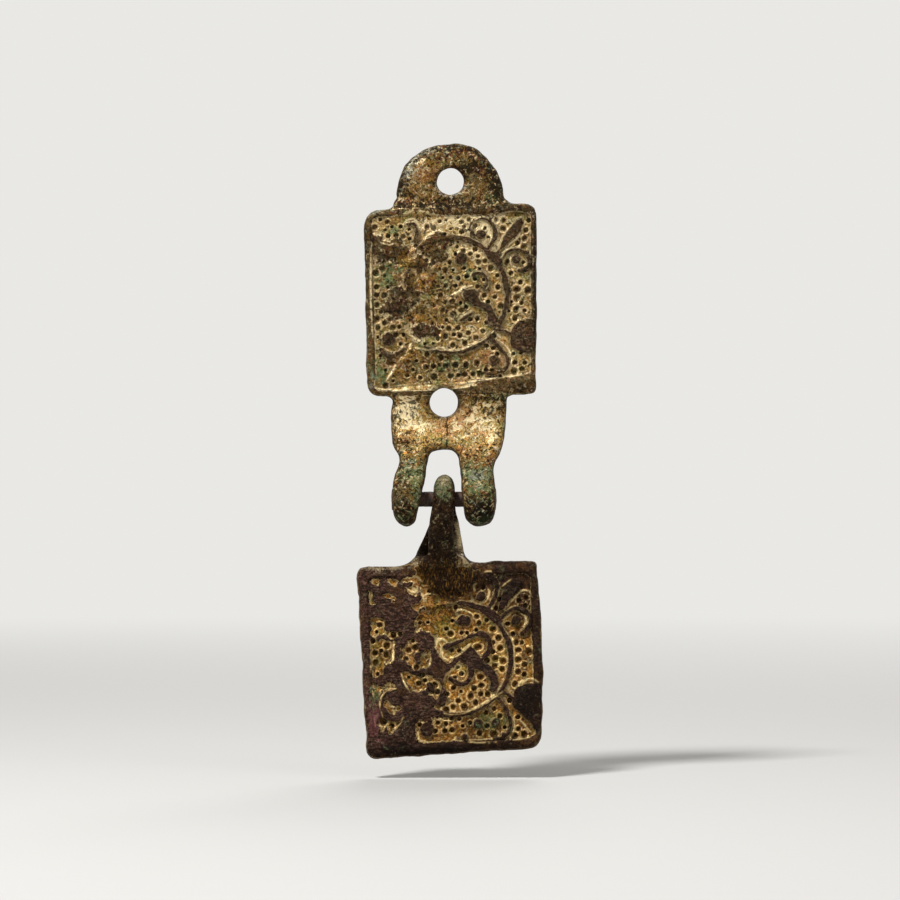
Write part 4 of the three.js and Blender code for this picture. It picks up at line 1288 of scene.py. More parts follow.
def ornament_paint(relief, masks, step, rim_gold):
    """Grids for the parts of the ornament that differ in colour, on the plate alone.

    "reach" is 0.5 where the gilding begins, more in the gilded field and less on bare metal.
    """
    inside = ramp(-masks["plate"], *PLATE_SPAN)
    reach = np.minimum(relief.bare, -relief.field + RIM_GOLD_REACH * rim_gold)
    reach = np.clip(0.5 + reach / REACH_SPAN, 0, 1)
    depth = masks["height"] - blurred(masks["height"], max(int(RELIEF_REACH / step), 1))
    return {
        "reach": 1 + (reach - 1) * inside,
        "pit": relief.pit * inside,
        # the lip round each dot is painted bright as a highlight
        "lip": relief.lip * (1 - relief.raised) * inside,
        # painted shade, with some grime, in the hollows of the relief
        "cavity_shade_and_dirt": np.clip(-depth * RELIEF_GAIN, 0, 1) * inside,
        # a painted highlight on the ridges of the relief
        "ridge_highlight": np.clip(depth * RELIEF_GAIN, 0, 1) * inside,
        "line": relief.line * inside,
        "streaks": 0 * depth,
    }


# Where the gilding runs out over the mount's rim, as soft spots
MOUNT_RIM_GOLD = [(440, 388, 70, 7, 0.8), (415, 210, 22, 6, 0.5), (515, 214, 14, 5, 0.3)]

# Amounts of each finish on the mount, first on the lug, the plate and the fork and then as soft
# spots. Gold is how much gilding is kept and dull how much of it is dull, dark is for the metal
# under it, mottle is light flecks and stains, grit is dark specks, warm turns the gilding from
# olive to orange, and polish is where it is bright, burnished or with a painted highlight.
# Tarnish darkens, and on the rims, the arms' lower ends and the lug's right side it is painted shade
MOUNT_TINTS = {
    "gold": ((0.42, 0.8, 0.3), [
        (402, 442, 15, 6, -0.5), (502, 402, 7, 14, -0.3), (473, 405, 8, 8, -0.15),
        (415, 180, 12, 22, 0.3), (480, 165, 14, 14, -0.15), (449, 200, 30, 6, -0.15),
        (450, 222, 50, 10, 0.15), (385, 226, 12, 12, 0.15), (520, 292, 12, 30, 0.08),
        (482, 232, 18, 18, 0.12), (505, 358, 16, 18, 0.12), (484, 248, 34, 11, 0.2),
        (422, 276, 22, 18, -0.4), (418, 316, 20, 12, -0.3), (395, 300, 14, 18, -0.3),
        (455, 300, 20, 20, -0.15), (446, 365, 44, 14, -0.3), (382, 290, 10, 40, -0.12),
        (378, 370, 12, 16, -0.25), (413, 425, 34, 26, 0.75), (487, 425, 34, 26, 0.75),
        (484, 510, 18, 16, -0.3), (400, 510, 14, 22, -0.25)]),
    "dull": ((0.45, 0.3, 0.25), [
        (446, 365, 50, 15, 0.55), (382, 290, 14, 44, 0.3), (416, 288, 26, 36, 0.75),
        (460, 300, 28, 30, 0.3), (380, 370, 16, 16, 0.35), (450, 222, 50, 10, -0.2),
        (392, 232, 8, 8, 0.3), (480, 180, 16, 20, 0.2), (425, 480, 60, 50, 0.2),
        (482, 236, 26, 20, -0.3), (507, 358, 16, 18, -0.2), (422, 226, 12, 10, -0.2)]),
    # the arms' lower ends, which curve under, are darker as painted shade over bare metal, as are their
    # tarnish and grit spots
    "dark": ((0.3, 0.25, 0.25), [
        (484, 510, 18, 18, 0.9), (402, 508, 14, 22, 0.8), (396, 300, 12, 16, 0.4),
        (480, 165, 18, 20, 0.3), (418, 290, 26, 36, -0.3)]),
    "green": ((0.16, 0.15, 0.2), [
        (446, 365, 44, 14, 0.22), (379, 374, 16, 14, 0.42), (384, 285, 10, 40, 0.18),
        (392, 275, 10, 16, 0.3), (465, 285, 24, 30, 0.2), (395, 232, 7, 9, 0.3),
        (406, 322, 9, 14, 0.25), (478, 478, 16, 14, 0.75), (419, 495, 6, 34, 0.7),
        (402, 472, 14, 18, 0.5), (402, 522, 14, 10, 0.35), (484, 520, 16, 10, 0.25),
        (478, 175, 16, 24, 0.12)]),
    # Pale is pale patina, and a painted highlight on the lug's top and upper left edges and the plate's
    # upper left corner
    "pale": ((0.04, 0.02, 0.06), [
        (409, 172, 12, 16, 0.4), (425, 150, 24, 7, 0.3), (374, 212, 12, 8, 0.35),
        (374, 382, 10, 8, 0.3), (480, 476, 14, 9, 0.55), (422, 500, 4, 28, 0.42),
        (408, 462, 10, 10, 0.25)]),
    "crust": ((0.0, 0.0, 0.0), [
        (423, 281, 11, 10, 1.2), (404, 262, 12, 10, 1.1), (421, 317, 13, 7, 0.9),
        (401, 367, 8, 13, 1.1), (410, 353, 7, 8, 0.8), (388, 222, 14, 5, 0.6),
        (420, 213, 24, 5, 0.5), (440, 330, 5, 14, 0.5), (493, 371, 12, 4, 0.5),
        (438, 300, 8, 14, 0.35), (488, 214, 10, 4, 0.5), (385, 222, 9, 5, 0.3),
        (430, 178, 12, 22, 0.2), (480, 188, 10, 12, 0.25)]),
    "mottle": ((0.7, 0.33, 0.7), [
        (412, 288, 28, 40, 0.3), (410, 420, 30, 24, -0.4), (485, 420, 34, 26, -0.4),
        (388, 246, 16, 10, 0.35), (436, 248, 16, 14, 0.4), (445, 365, 60, 14, 0.1),
        (404, 160, 12, 20, 0.2), (492, 408, 14, 14, 0.3), (400, 448, 12, 6, 0.2)]),
    "grit": ((0.36, 0.2, 0.34), [
        (520, 292, 12, 34, 0.08), (455, 296, 16, 34, 0.08),
        (400, 186, 7, 22, 0.15), (425, 174, 16, 18, -0.2), (480, 180, 9, 14, -0.2),
        (495, 172, 10, 34, 0.35), (467, 168, 10, 5, 0.45), (436, 205, 44, 6, 0.15),
        (450, 150, 40, 6, 0.1), (412, 290, 26, 34, 0.14), (445, 366, 50, 14, 0.08),
        (388, 340, 8, 8, 0.1), (407, 411, 12, 15, 0.04), (394, 414, 4, 26, 0.25),
        (426, 426, 14, 12, -0.26), (456, 430, 14, 18, -0.26), (490, 405, 18, 13, 0.16),
        (484, 430, 16, 12, -0.14), (404, 490, 14, 18, 0.05), (402, 518, 14, 10, 0.2),
        (482, 512, 18, 14, 0.3), (474, 486, 12, 10, -0.12)]),
    "warm": ((0.55, 0.45, 0.5), [
        (415, 172, 10, 16, 0.3), (480, 178, 10, 12, 0.4), (440, 158, 20, 6, -0.2),
        (402, 365, 7, 14, 0.6), (376, 362, 8, 26, -0.5), (425, 366, 16, 14, -0.25),
        (404, 268, 16, 14, 0.5), (428, 285, 12, 12, 0.4), (420, 318, 14, 10, 0.4),
        (456, 430, 14, 18, 0.5), (405, 444, 16, 8, 0.3), (404, 412, 12, 16, -0.3),
        (490, 412, 16, 18, -0.15), (470, 470, 10, 20, 0.3), (402, 480, 12, 24, -0.3),
        (520, 290, 12, 30, 0.1), (480, 360, 22, 12, 0.25)]),
    # Painted shade as well as tarnishing: on the plate's side rims, along its top under the lug and its
    # bottom, on the lug's right side and at the arms' lower ends; negative spots lighten
    "tarnish_and_shade": ((0.2, 0.18, 0.1), [
        (412, 180, 16, 24, 0.26), (484, 244, 30, 14, -0.2), (506, 358, 16, 18, -0.14),
        (402, 384, 20, 9, 0.26), (490, 385, 24, 8, -0.2), (400, 264, 12, 9, 0.2), (422, 345, 12, 8, 0.15),
        (402, 364, 12, 10, 0.16), (522, 362, 8, 12, 0.12),
        (485, 172, 16, 30, 0.38), (455, 206, 40, 7, 0.55), (515, 209, 16, 5, 0.7),
        (536, 270, 5, 90, 0.85), (364, 270, 5, 90, 0.75), (520, 388, 18, 6, 0.6),
        (390, 268, 10, 10, 0.45), (522, 335, 16, 18, -0.3), (482, 514, 20, 17, 1.0),
        (400, 508, 13, 26, 0.6), (396, 300, 10, 16, 0.15), (402, 444, 16, 6, 0.3),
        (455, 296, 18, 34, 0.12), (520, 292, 12, 34, 0.08),
        (498, 404, 10, 14, 0.3), (404, 180, 8, 20, 0.12), (440, 205, 30, 5, 0.2)]),
    # burnished gilding and a painted highlight, most on the extension's slope that faces up and on the
    # plate's brightest patches
    "polish_and_highlight": ((0.0, 0.0, 0.0), [
        (406, 408, 11, 17, 0.95), (422, 427, 13, 6, 0.62), (480, 418, 18, 14, 0.6),
        (456, 430, 10, 12, 0.4), (494, 436, 10, 16, 0.35), (484, 230, 18, 18, 0.68),
        (456, 388, 56, 4, 0.36), (384, 221, 9, 6, 0.7), (416, 276, 12, 5, 0.6),
        (426, 166, 10, 8, 0.3), (412, 162, 10, 14, 0.25), (446, 222, 30, 7, 0.55),
        (418, 338, 5, 4, 0.8), (492, 215, 12, 4, 0.3), (450, 295, 90, 85, 0.12),
        (520, 292, 10, 34, 0.15), (474, 332, 28, 12, 0.15), (508, 358, 14, 16, 0.14),
        (484, 246, 32, 10, 0.34), (422, 226, 10, 9, 0.3), (490, 384, 20, 6, 0.4),
        (402, 424, 9, 20, 0.18), (482, 403, 9, 8, 0.2), (455, 224, 60, 9, 0.12)]),
}

# Thin marks on the extension and the right arm: (points, width) in pixels
MOUNT_CRACK = [([(447.5, 415), (446.5, 425), (447.5, 434), (446.5, 446)], 1.5)]
MOUNT_SCRATCHES = [
    ([(466, 496), (474, 502.5), (482, 509), (489, 519)], 1.1), ([(483, 499), (478, 505), (474, 514)], 0.9),
    ([(470, 486), (479, 487), (487, 492)], 0.9),
]

# What wear, the edges and the marks add to the finishes, with a painted highlight under the upper hole,
# painted shade over it, and a pale edge band that is wear with a painted highlight: (finish, area, amount)
MOUNT_WEAR_AND_LIGHT = [
    ("dark", "bare", 0.6), ("mottle", "bare", -0.14), ("green", "bare", -0.2),
    ("tarnish_and_shade", "bare", 0.26), ("dark", "border", 0.3), ("gold", "border", -0.3),
    ("pale", "border", 0.2), ("tarnish_and_shade", "border", 0.15), ("mottle", "border", 0.1),
    ("pale", "brink", 0.15), ("tarnish_and_shade", "brink", 0.15), ("mottle", "brink", 0.35),
    ("pale", "highlight_under_upper_hole", 0.6), ("tarnish_and_shade", "shade_over_upper_hole", 0.5),
    ("tarnish_and_shade", "lower_hole", 0.6), ("grit", "crack", 1.0), ("pale", "scratches", 0.7),
]


def finish_paint(reading, relief, tints, bases_of, wear_and_light, areas):
    """Amounts of each finish: a base in each of three areas, spots on it, and what wear and painted light
    add.
    """
    finishes = {}
    for name, (bases, spots) in tints.items():
        base = sum(amount * areas[area] for amount, area in zip(bases, bases_of))
        finishes[name] = tinted(reading, relief.x, relief.z, base, spots)
    for name, area, amount in wear_and_light:
        finishes[name] += amount * areas[area]
    return finishes


def mount_paint(relief, masks, step):
    """Where the mount's front keeps gold, and where it is dark, dull, green, pale or crusted, with painted
    shade and highlights.
    """
    x, z = relief.x, relief.z
    rim_gold = tinted(MOUNT_READING, x, z, 0.0, MOUNT_RIM_GOLD)
    ornament = ornament_paint(relief, masks, step, rim_gold)
    plate = ramp(-masks["plate"], *PLATE_SPAN)
    lug = (1 - plate) * (z > 0)
    upper = brink(masks["upper"], UPPER_HOLE_BRINK)
    low_side = ramp(plate_top + UPPER_HOLE_RISE - z, *LOW_SIDE_SPAN)
    areas = {
        "lug": lug,
        "plate": plate,
        "fork": (1 - plate) * (z < 0),
        "bare": plate * (1 - ramp(relief.bare, *BARE_SPAN)),
        "border": lug * ramp(masks["lug"], *LUG_BORDER_SPAN),
        "brink": brink(masks["plate"], MOUNT_BRINK) * plate,
        # the pale band under the upper hole is a painted highlight, the darker one over it painted shade
        "highlight_under_upper_hole": upper * low_side,
        "shade_over_upper_hole": upper * (1 - low_side),
        "lower_hole": brink(masks["lower"], LOWER_HOLE_BRINK),
        "crack": ramp(-line_distance(MOUNT_READING, x, z, MOUNT_CRACK), *CRACK_SPAN),
        "scratches": ramp(-line_distance(MOUNT_READING, x, z, MOUNT_SCRATCHES), *SCRATCH_SPAN),
    }
    return ornament | finish_paint(
        MOUNT_READING, relief, MOUNT_TINTS, ("lug", "plate", "fork"), MOUNT_WEAR_AND_LIGHT, areas)


# Where the gilding runs out over the pendant's rim
PENDANT_RIM_GOLD = [(520, 580, 16, 8, 0.2)]

# The same finishes on the pendant, first on the plate, the loop's foot and the loop above it. Spots at the
# rear strip right of the stem, at the loop's tip, on the strip's left edge and along the plate's top edge
# paint them lit; the stem and the plate's bottom and side rims are darker with painted shade
PENDANT_TINTS = {
    "gold": ((0.86, 0.5, 0.06), [
        (514, 580, 26, 20, -0.9), (524, 610, 10, 14, -0.4), (482, 578, 14, 12, -0.5),
        (414, 588, 14, 12, 0.35),
        # the spot on the rear strip right of the stem paints it lit, as do its pale, polish, warm, mottle,
        # grit and tarnish spots
        (484, 722, 24, 12, -0.3), (447, 582, 12, 10, -0.25), (460, 532, 5, 28, 0.7),
        (458, 684, 13, 26, 0.14)]),
    "dull": ((0.25, 0.8, 0.9), [
        (437, 612, 24, 22, 0.65), (484, 722, 26, 13, 0.6), (382, 655, 14, 18, 0.45),
        (417, 655, 18, 14, 0.5), (420, 684, 20, 12, 0.3), (516, 622, 16, 14, 0.6),
        (440, 726, 18, 10, 0.2), (405, 582, 12, 12, -0.4), (458, 684, 14, 28, -0.25)]),
    "dark": ((0.3, 0.4, 0.5), []),
    "green": ((0.08, 0.1, 0.1), [
        (484, 722, 24, 13, 0.3), (375, 694, 6, 12, 0.4), (444, 486, 9, 16, 1.1),
        (375, 690, 7, 12, 0.3), (523, 690, 10, 24, 0.06), (447, 520, 10, 20, 0.08),
        (502, 572, 14, 10, -0.3)]),
    # Pale is patina, and a painted highlight on the loop's tip, the lit rear strip, the strip's left edge
    # and the plate's top edge
    "pale": ((0.0, 0.0, 0.0), [
        (444, 485, 8, 13, 0.85), (460, 536, 5.5, 28, 1.05), (415, 556, 4, 10, 0.8), (386, 568, 28, 3, 0.6),
        (470, 562, 5, 5, 0.4), (440, 753, 90, 9, -0.3)]),
    "crust": ((0.0, 0.0, 0.0), [
        (375, 716, 6, 22, 1.0), (384, 742, 8, 7, 0.5), (364, 610, 5, 22, 0.3), (364, 680, 5, 30, 0.3)]),
    "mottle": ((0.2, 0.12, 0.75), [
        (380, 570, 20, 6, 0.2), (484, 722, 24, 12, 0.3), (461, 536, 5, 26, -0.6), (440, 753, 90, 9, -0.5)]),
    "grit": ((0.05, 0.1, 0.3), [(460, 532, 5, 28, -0.3)]),
    "warm": ((0.5, 0.5, 0.5), [
        (408, 655, 14, 14, 0.3), (412, 588, 10, 8, 0.4),
        (484, 722, 24, 12, -0.4), (460, 536, 5.5, 28, 0.5)]),
    # Painted shade as well as tarnishing on the stem and the plate's bottom and side rims; some negative
    # spots light the loop's tip and the rear strip as a painted highlight
    "tarnish_and_shade": ((0.2, 0.63, 0.8), [
        (514, 580, 28, 22, 0.4), (440, 750, 90, 11, 1.1), (384, 732, 20, 12, 0.14),
        (372, 650, 12, 60, 0.16), (394, 690, 14, 24, 0.12), (456, 682, 12, 28, -0.16),
        (478, 602, 14, 9, 0.16), (478, 702, 12, 8, 0.18),
        (497, 668, 12, 40, -0.12), (536, 640, 6, 70, 0.5),
        (525, 705, 12, 24, 0.55), (484, 722, 26, 12, 0.2), (444, 486, 9, 15, -0.8),
        (462, 536, 5, 28, -0.9), (415, 556, 5, 12, -0.8), (437, 612, 24, 22, 0.1),
        (405, 620, 40, 30, 0.1), (414, 590, 14, 14, -0.35), (518, 620, 14, 13, 0.25),
        (527, 698, 10, 12, 0.2)]),
    # a painted highlight on the lit rear strip and on bright patches of the field, besides burnished
    # gilding
    "polish_and_highlight": ((0.0, 0.0, 0.0), [
        (413, 590, 4, 3, 0.7), (440, 650, 7, 11, 0.75), (462, 660, 9, 6, 0.4),
        (456, 686, 12, 24, 0.1), (461, 536, 5, 26, 0.8), (505, 683, 6, 14, 0.3)]),
}
# the pale band along the plate's edge is wear and a painted highlight
PENDANT_WEAR_AND_LIGHT = [
    ("dark", "bare", 0.6), ("tarnish_and_shade", "raised", 0.3), ("tarnish_and_shade", "worn", -0.18),
    ("pale", "brink", 0.15), ("mottle", "brink", 0.3),
]

# What is painted on the backs of both castings
BACK_PAINT = {
    "gold": 0.12, "dull": 0.6, "dark": 0.6, "green": 0.2, "pale": 0.06, "reach": 1.0,
    "tarnish_and_shade": 0.36, "grit": 0.15, "warm": 0.5,
}


def pendant_paint(relief, masks, step):
    """Where the pendant's front keeps gold, and where it is dark, dull, green, pale or red, with painted
    shade and highlights.
    """
    rim_gold = tinted(PENDANT_READING, relief.x, relief.z, 0.0, PENDANT_RIM_GOLD)
    ornament = ornament_paint(relief, masks, step, rim_gold)
    foot = masks["foot"]
    ornament["reach"] += (1 - ornament["reach"]) * foot
    for name in ("pit", "lip"):
        ornament[name] *= 1 - foot
    stem = ramp(relief.z, *STEM_SPAN)
    plate = (1 - foot) * (1 - stem)
    areas = {
        "plate": plate,
        "foot": foot * (1 - stem),
        "stem": stem,
        "bare": (1 - ramp(relief.bare, *BARE_SPAN)) * (1 - foot),
        "raised": relief.raised * plate,
        "worn": relief.worn * plate,
        "brink": brink(masks["plate"], PENDANT_BRINK) * (1 - stem),
    }
    finishes = finish_paint(
        PENDANT_READING, relief, PENDANT_TINTS, ("plate", "foot", "stem"), PENDANT_WEAR_AND_LIGHT, areas)
    return ornament | finishes | {"streaks": foot * (1 - STREAKS_LOST_ON_STEM * stem)}


def dress(piece, relief, grids):
    """Paints the grids on what faces forward of a piece, and the back's values on the rest."""
    places = vertex_values(piece, "co")
    facing = ramp(-vertex_values(piece, "normal")[:, 1], *FRONT_SPAN)
    for name, grid in grids.items():
        front = sample(np.clip(grid, 0, 1), relief.flat, places[:, 0], places[:, 2])
        back = BACK_PAINT.get(name, 0.0)
        values = np.clip(back + (front - back) * facing, 0, 1).astype(np.float32)
        layer = piece.data.attributes.new(name, "FLOAT", "POINT")
        layer.data.foreach_set("value", values)


# Materials

def shade(code):
    """Linear colour of a written hex colour."""
    channels = [int(code[start:start + 2], 16) / 255 for start in (1, 3, 5)]
    linear = [c / 12.92 if c <= 0.04045 else ((c + 0.055) / 1.055) ** 2.4 for c in channels]
    return (*linear, 1.0)


class Shader:
    """Short calls for building one material's nodes."""

    def __init__(self, name):
        self.material = bpy.data.materials.new(name)
        self.material.use_nodes = True
        self.tree = self.material.node_tree
        self.surface = self.tree.nodes["Principled BSDF"]
        coordinates = self.tree.nodes.new("ShaderNodeTexCoord")
        node = self.vector_node("SCALE", coordinates.outputs["Object"])
        node.inputs["Scale"].default_value = 1 / MM
        self.place = node.outputs[0]

    def link(self, value, socket):
        """Feeds a socket from another one, or sets its number or colour."""
        if isinstance(value, bpy.types.NodeSocket):
            self.tree.links.new(value, socket)
        else:
            socket.default_value = value

    def vector_node(self, operation, vector):
        node = self.tree.nodes.new("ShaderNodeVectorMath")
        node.operation = operation
        self.link(vector, node.inputs[0])
        return node

    def calculate(self, operation, first, second):
        node = self.tree.nodes.new("ShaderNodeMath")
        node.operation = operation
        self.link(first, node.inputs[0])
        self.link(second, node.inputs[1])
        return node.outputs[0]

    def times(self, first, second):
        return self.calculate("MULTIPLY", first, second)

    def larger(self, first, second):
        return self.calculate("MAXIMUM", first, second)

    def rest(self, value, weight=None):
        """What is left of 1 by a value, or by a share of it."""
        part = value if weight is None else self.times(value, weight)
        return self.calculate("SUBTRACT", 1.0, part)

    def weigh(self, *terms, offset=0.0):
        """The sum of (value, weight) terms and an offset."""
        total = None
        for value, weight in terms:
            part = self.times(value, weight)
            total = part if total is None else self.calculate("ADD", total, part)
        return self.calculate("ADD", total, offset) if offset else total

    def painted(self, name):
        """The amount painted on the mesh under a name."""
        node = self.tree.nodes.new("ShaderNodeAttribute")
        node.attribute_name = name
        return node.outputs["Fac"]

    def grain(self, size, detail, distortion, stretch=None):
        """Noise from 0 to 1 whose lumps are about size millimetres across."""
        place = self.place
        if stretch:
            scaled = self.vector_node("MULTIPLY", place)
            scaled.inputs[1].default_value = stretch
            place = scaled.outputs[0]
        node = self.tree.nodes.new("ShaderNodeTexNoise")
        self.link(place, node.inputs["Vector"])
        node.inputs["Scale"].default_value = 1 / size
        node.inputs["Detail"].default_value = detail
        node.inputs["Roughness"].default_value = NOISE_ROUGHNESS
        node.inputs["Distortion"].default_value = distortion
        return node.outputs["Fac"]

    def between(self, value, span, levels=(0.0, 1.0)):
        """A smooth step over a span of the value, from one level to the other."""
        node = self.tree.nodes.new("ShaderNodeMapRange")
        node.interpolation_type = "SMOOTHSTEP"
        self.link(value, node.inputs["Value"])
        for name, number in zip(("From Min", "From Max", "To Min", "To Max"), (*span, *levels)):
            node.inputs[name].default_value = number
        return node.outputs["Result"]

    def share_of(self, amount, noise, softness):
        """Where noise lies under the painted amount, so that amount is about the share covered."""
        level = self.between(noise, NOISE_SPAN)
        gap = self.calculate("SUBTRACT", amount, level)
        return self.between(gap, (-softness, softness))

    def mix(self, share, first, second):
        """A colour between two, more of the second the larger the share."""
        node = self.tree.nodes.new("ShaderNodeMix")
        node.data_type = "RGBA"
        self.link(share, node.inputs["Factor"])
        self.link(first, node.inputs[6])
        self.link(second, node.inputs[7])
        return node.outputs[2]

    def mix_value(self, share, first, second):
        """A number between two, as mix does it for colours."""
        node = self.tree.nodes.new("ShaderNodeMix")
        node.data_type = "FLOAT"
        self.link(share, node.inputs["Factor"])
        self.link(first, node.inputs[2])
        self.link(second, node.inputs[3])
        return node.outputs[0]

    def ramp(self, value, stops):
        """Colours along a value, given as (position, hex colour)."""
        node = self.tree.nodes.new("ShaderNodeValToRGB")
        self.link(value, node.inputs["Fac"])
        elements = node.color_ramp.elements
        while len(elements) < len(stops):
            elements.new(0.5)
        for element, (position, code) in zip(elements, stops):
            element.position = position
            element.color = shade(code)
        return node.outputs["Color"]

    def bump(self, height, distance, strength, normal=None):
        """A normal bent by a height, its distance in millimetres."""
        node = self.tree.nodes.new("ShaderNodeBump")
        self.link(height, node.inputs["Height"])
        node.inputs["Distance"].default_value = distance * MM
        node.inputs["Strength"].default_value = strength
        if normal is not None:
            self.link(normal, node.inputs["Normal"])
        return node.outputs["Normal"]


# Noises that the layers of a casting share: size of the lumps, detail, distortion and stretch
NOISE_ROUGHNESS = 0.6
CASTING_NOISES = {
    "fine": (0.26, 3.0, 0.4),
    "middle": (0.8, 4.0, 0.6),
    "broad": (2.4, 3.0, 0.5),
    "specks": (0.16, 2.0, 0.0),
    "lumps": (0.55, 3.0, 1.0),
    "streaked": (0.2, 3.0, 0.3, (1.0, 1.0, 0.22)),
    "brushed": (0.24, 3.0, 0.4, (0.4, 1.0, 1.1)),
    "kinds": (1.1, 3.0, 0.8),
}
CASTING_BLENDS = {
    "brushed": (("fine", 0.4), ("brushed", 0.6)),
    "ragged": (("fine", 0.4), ("middle", 0.4), ("specks", 0.2)),
    "gold": (("fine", 0.5), ("middle", 0.3), ("specks", 0.2)),
    "warm": (("broad", 0.6), ("middle", 0.4)),
    "olive": (("broad", 0.7), ("middle", 0.3)),
    "patchy": (("middle", 0.5), ("fine", 0.5)),
    "crust": (("middle", 0.55), ("fine", 0.45)),
    "green": (("broad", 0.45), ("middle", 0.55)),
    "grit": (("lumps", 0.85), ("fine", 0.15)),
    "speckle": (("specks", 0.6), ("fine", 0.4)),
    "pitted": (("middle", 0.6), ("lumps", 0.4)),
    "rough": (("fine", 0.7), ("specks", 0.3)),
}

# The spans over which noises, and the gilding's reach in millimetres, turn from 0 to 1
NOISE_SPAN = (0.3, 0.7)
NOISE_MEAN = 0.5
SPANS = {
    "brushed": (0.36, 0.66), "gilt": (-0.02, 0.05), "edge": (0.0, 0.05), "edge_end": (0.1, 0.26),
    "edge_breaks": (0.34, 0.5), "gold": (0.36, 0.62), "lip": (0.42, 0.54), "ridge_highlight": (0.45, 0.6),
    "line": (0.33, 0.47), "warm": (0.62, 0.74), "olive": (0.5, 0.6), "streaks": (0.42, 0.7),
    "crust": (0.36, 0.62), "green": (0.36, 0.6), "flecks": (0.37, 0.43), "dirt_and_shade": (0.3, 0.5),
    "speckle": (0.52, 0.6),
}
LEVELS = {
    "warm": (0.0, 0.6), "olive": (0.75, 0.0), "green": (0.3, 0.9), "flecks": (1.0, 0.0),
    "dirt_and_shade": (0.85, 1.0),
}

# How softly the layers end, and how much they cover at most
SOFTNESS = {
    "dark": 0.35, "dull": 0.4, "polish_and_highlight": 0.2, "gold": 0.12, "crust": 0.25, "green": 0.14,
    "pale": 0.2, "grit": 0.12,
}
COVER = {
    "lip": 0.85, "ridge_highlight": 0.6, "bright": 0.95, "streaks": 0.75, "crust": 0.85, "tarnish_and_shade": 0.88,
    "stains": 0.5, "pale": 0.7, "grit": 0.85, "cavity_shade_and_dirt": 0.8, "speckle": 0.8,
}

# How the layers change each other: the pull of the painted warmth, what bright gilding and its
# painted highlights add to the gold that is kept and take from the green, and what other layers lose
HEAT_PULL = 0.24
BRIGHT_KEPT = 0.3
BRIGHT_GREEN = -0.2
LIFT_LOST_TO_DULL = 0.6
PITS_LOST_TO_DULL = 0.45
FLECKS_LOST_TO_TARNISH_AND_SHADE = 0.5
SPECKLE_LOST_TO_BRIGHT = 0.7

# Metallic and roughness of bare and of gilded metal, and the relief that only bends the light
GILDED_METALLIC = 0.45
BARE_ROUGHNESS = 0.66
GILDED_ROUGHNESS = 0.42
ROUGHNESS_GRAIN = 0.16
CASTING_SPECULAR = 0.05
PITTED_DEPTH = 0.16
ROUGH_DEPTH = 0.08
CASTING_BUMP = 0.9


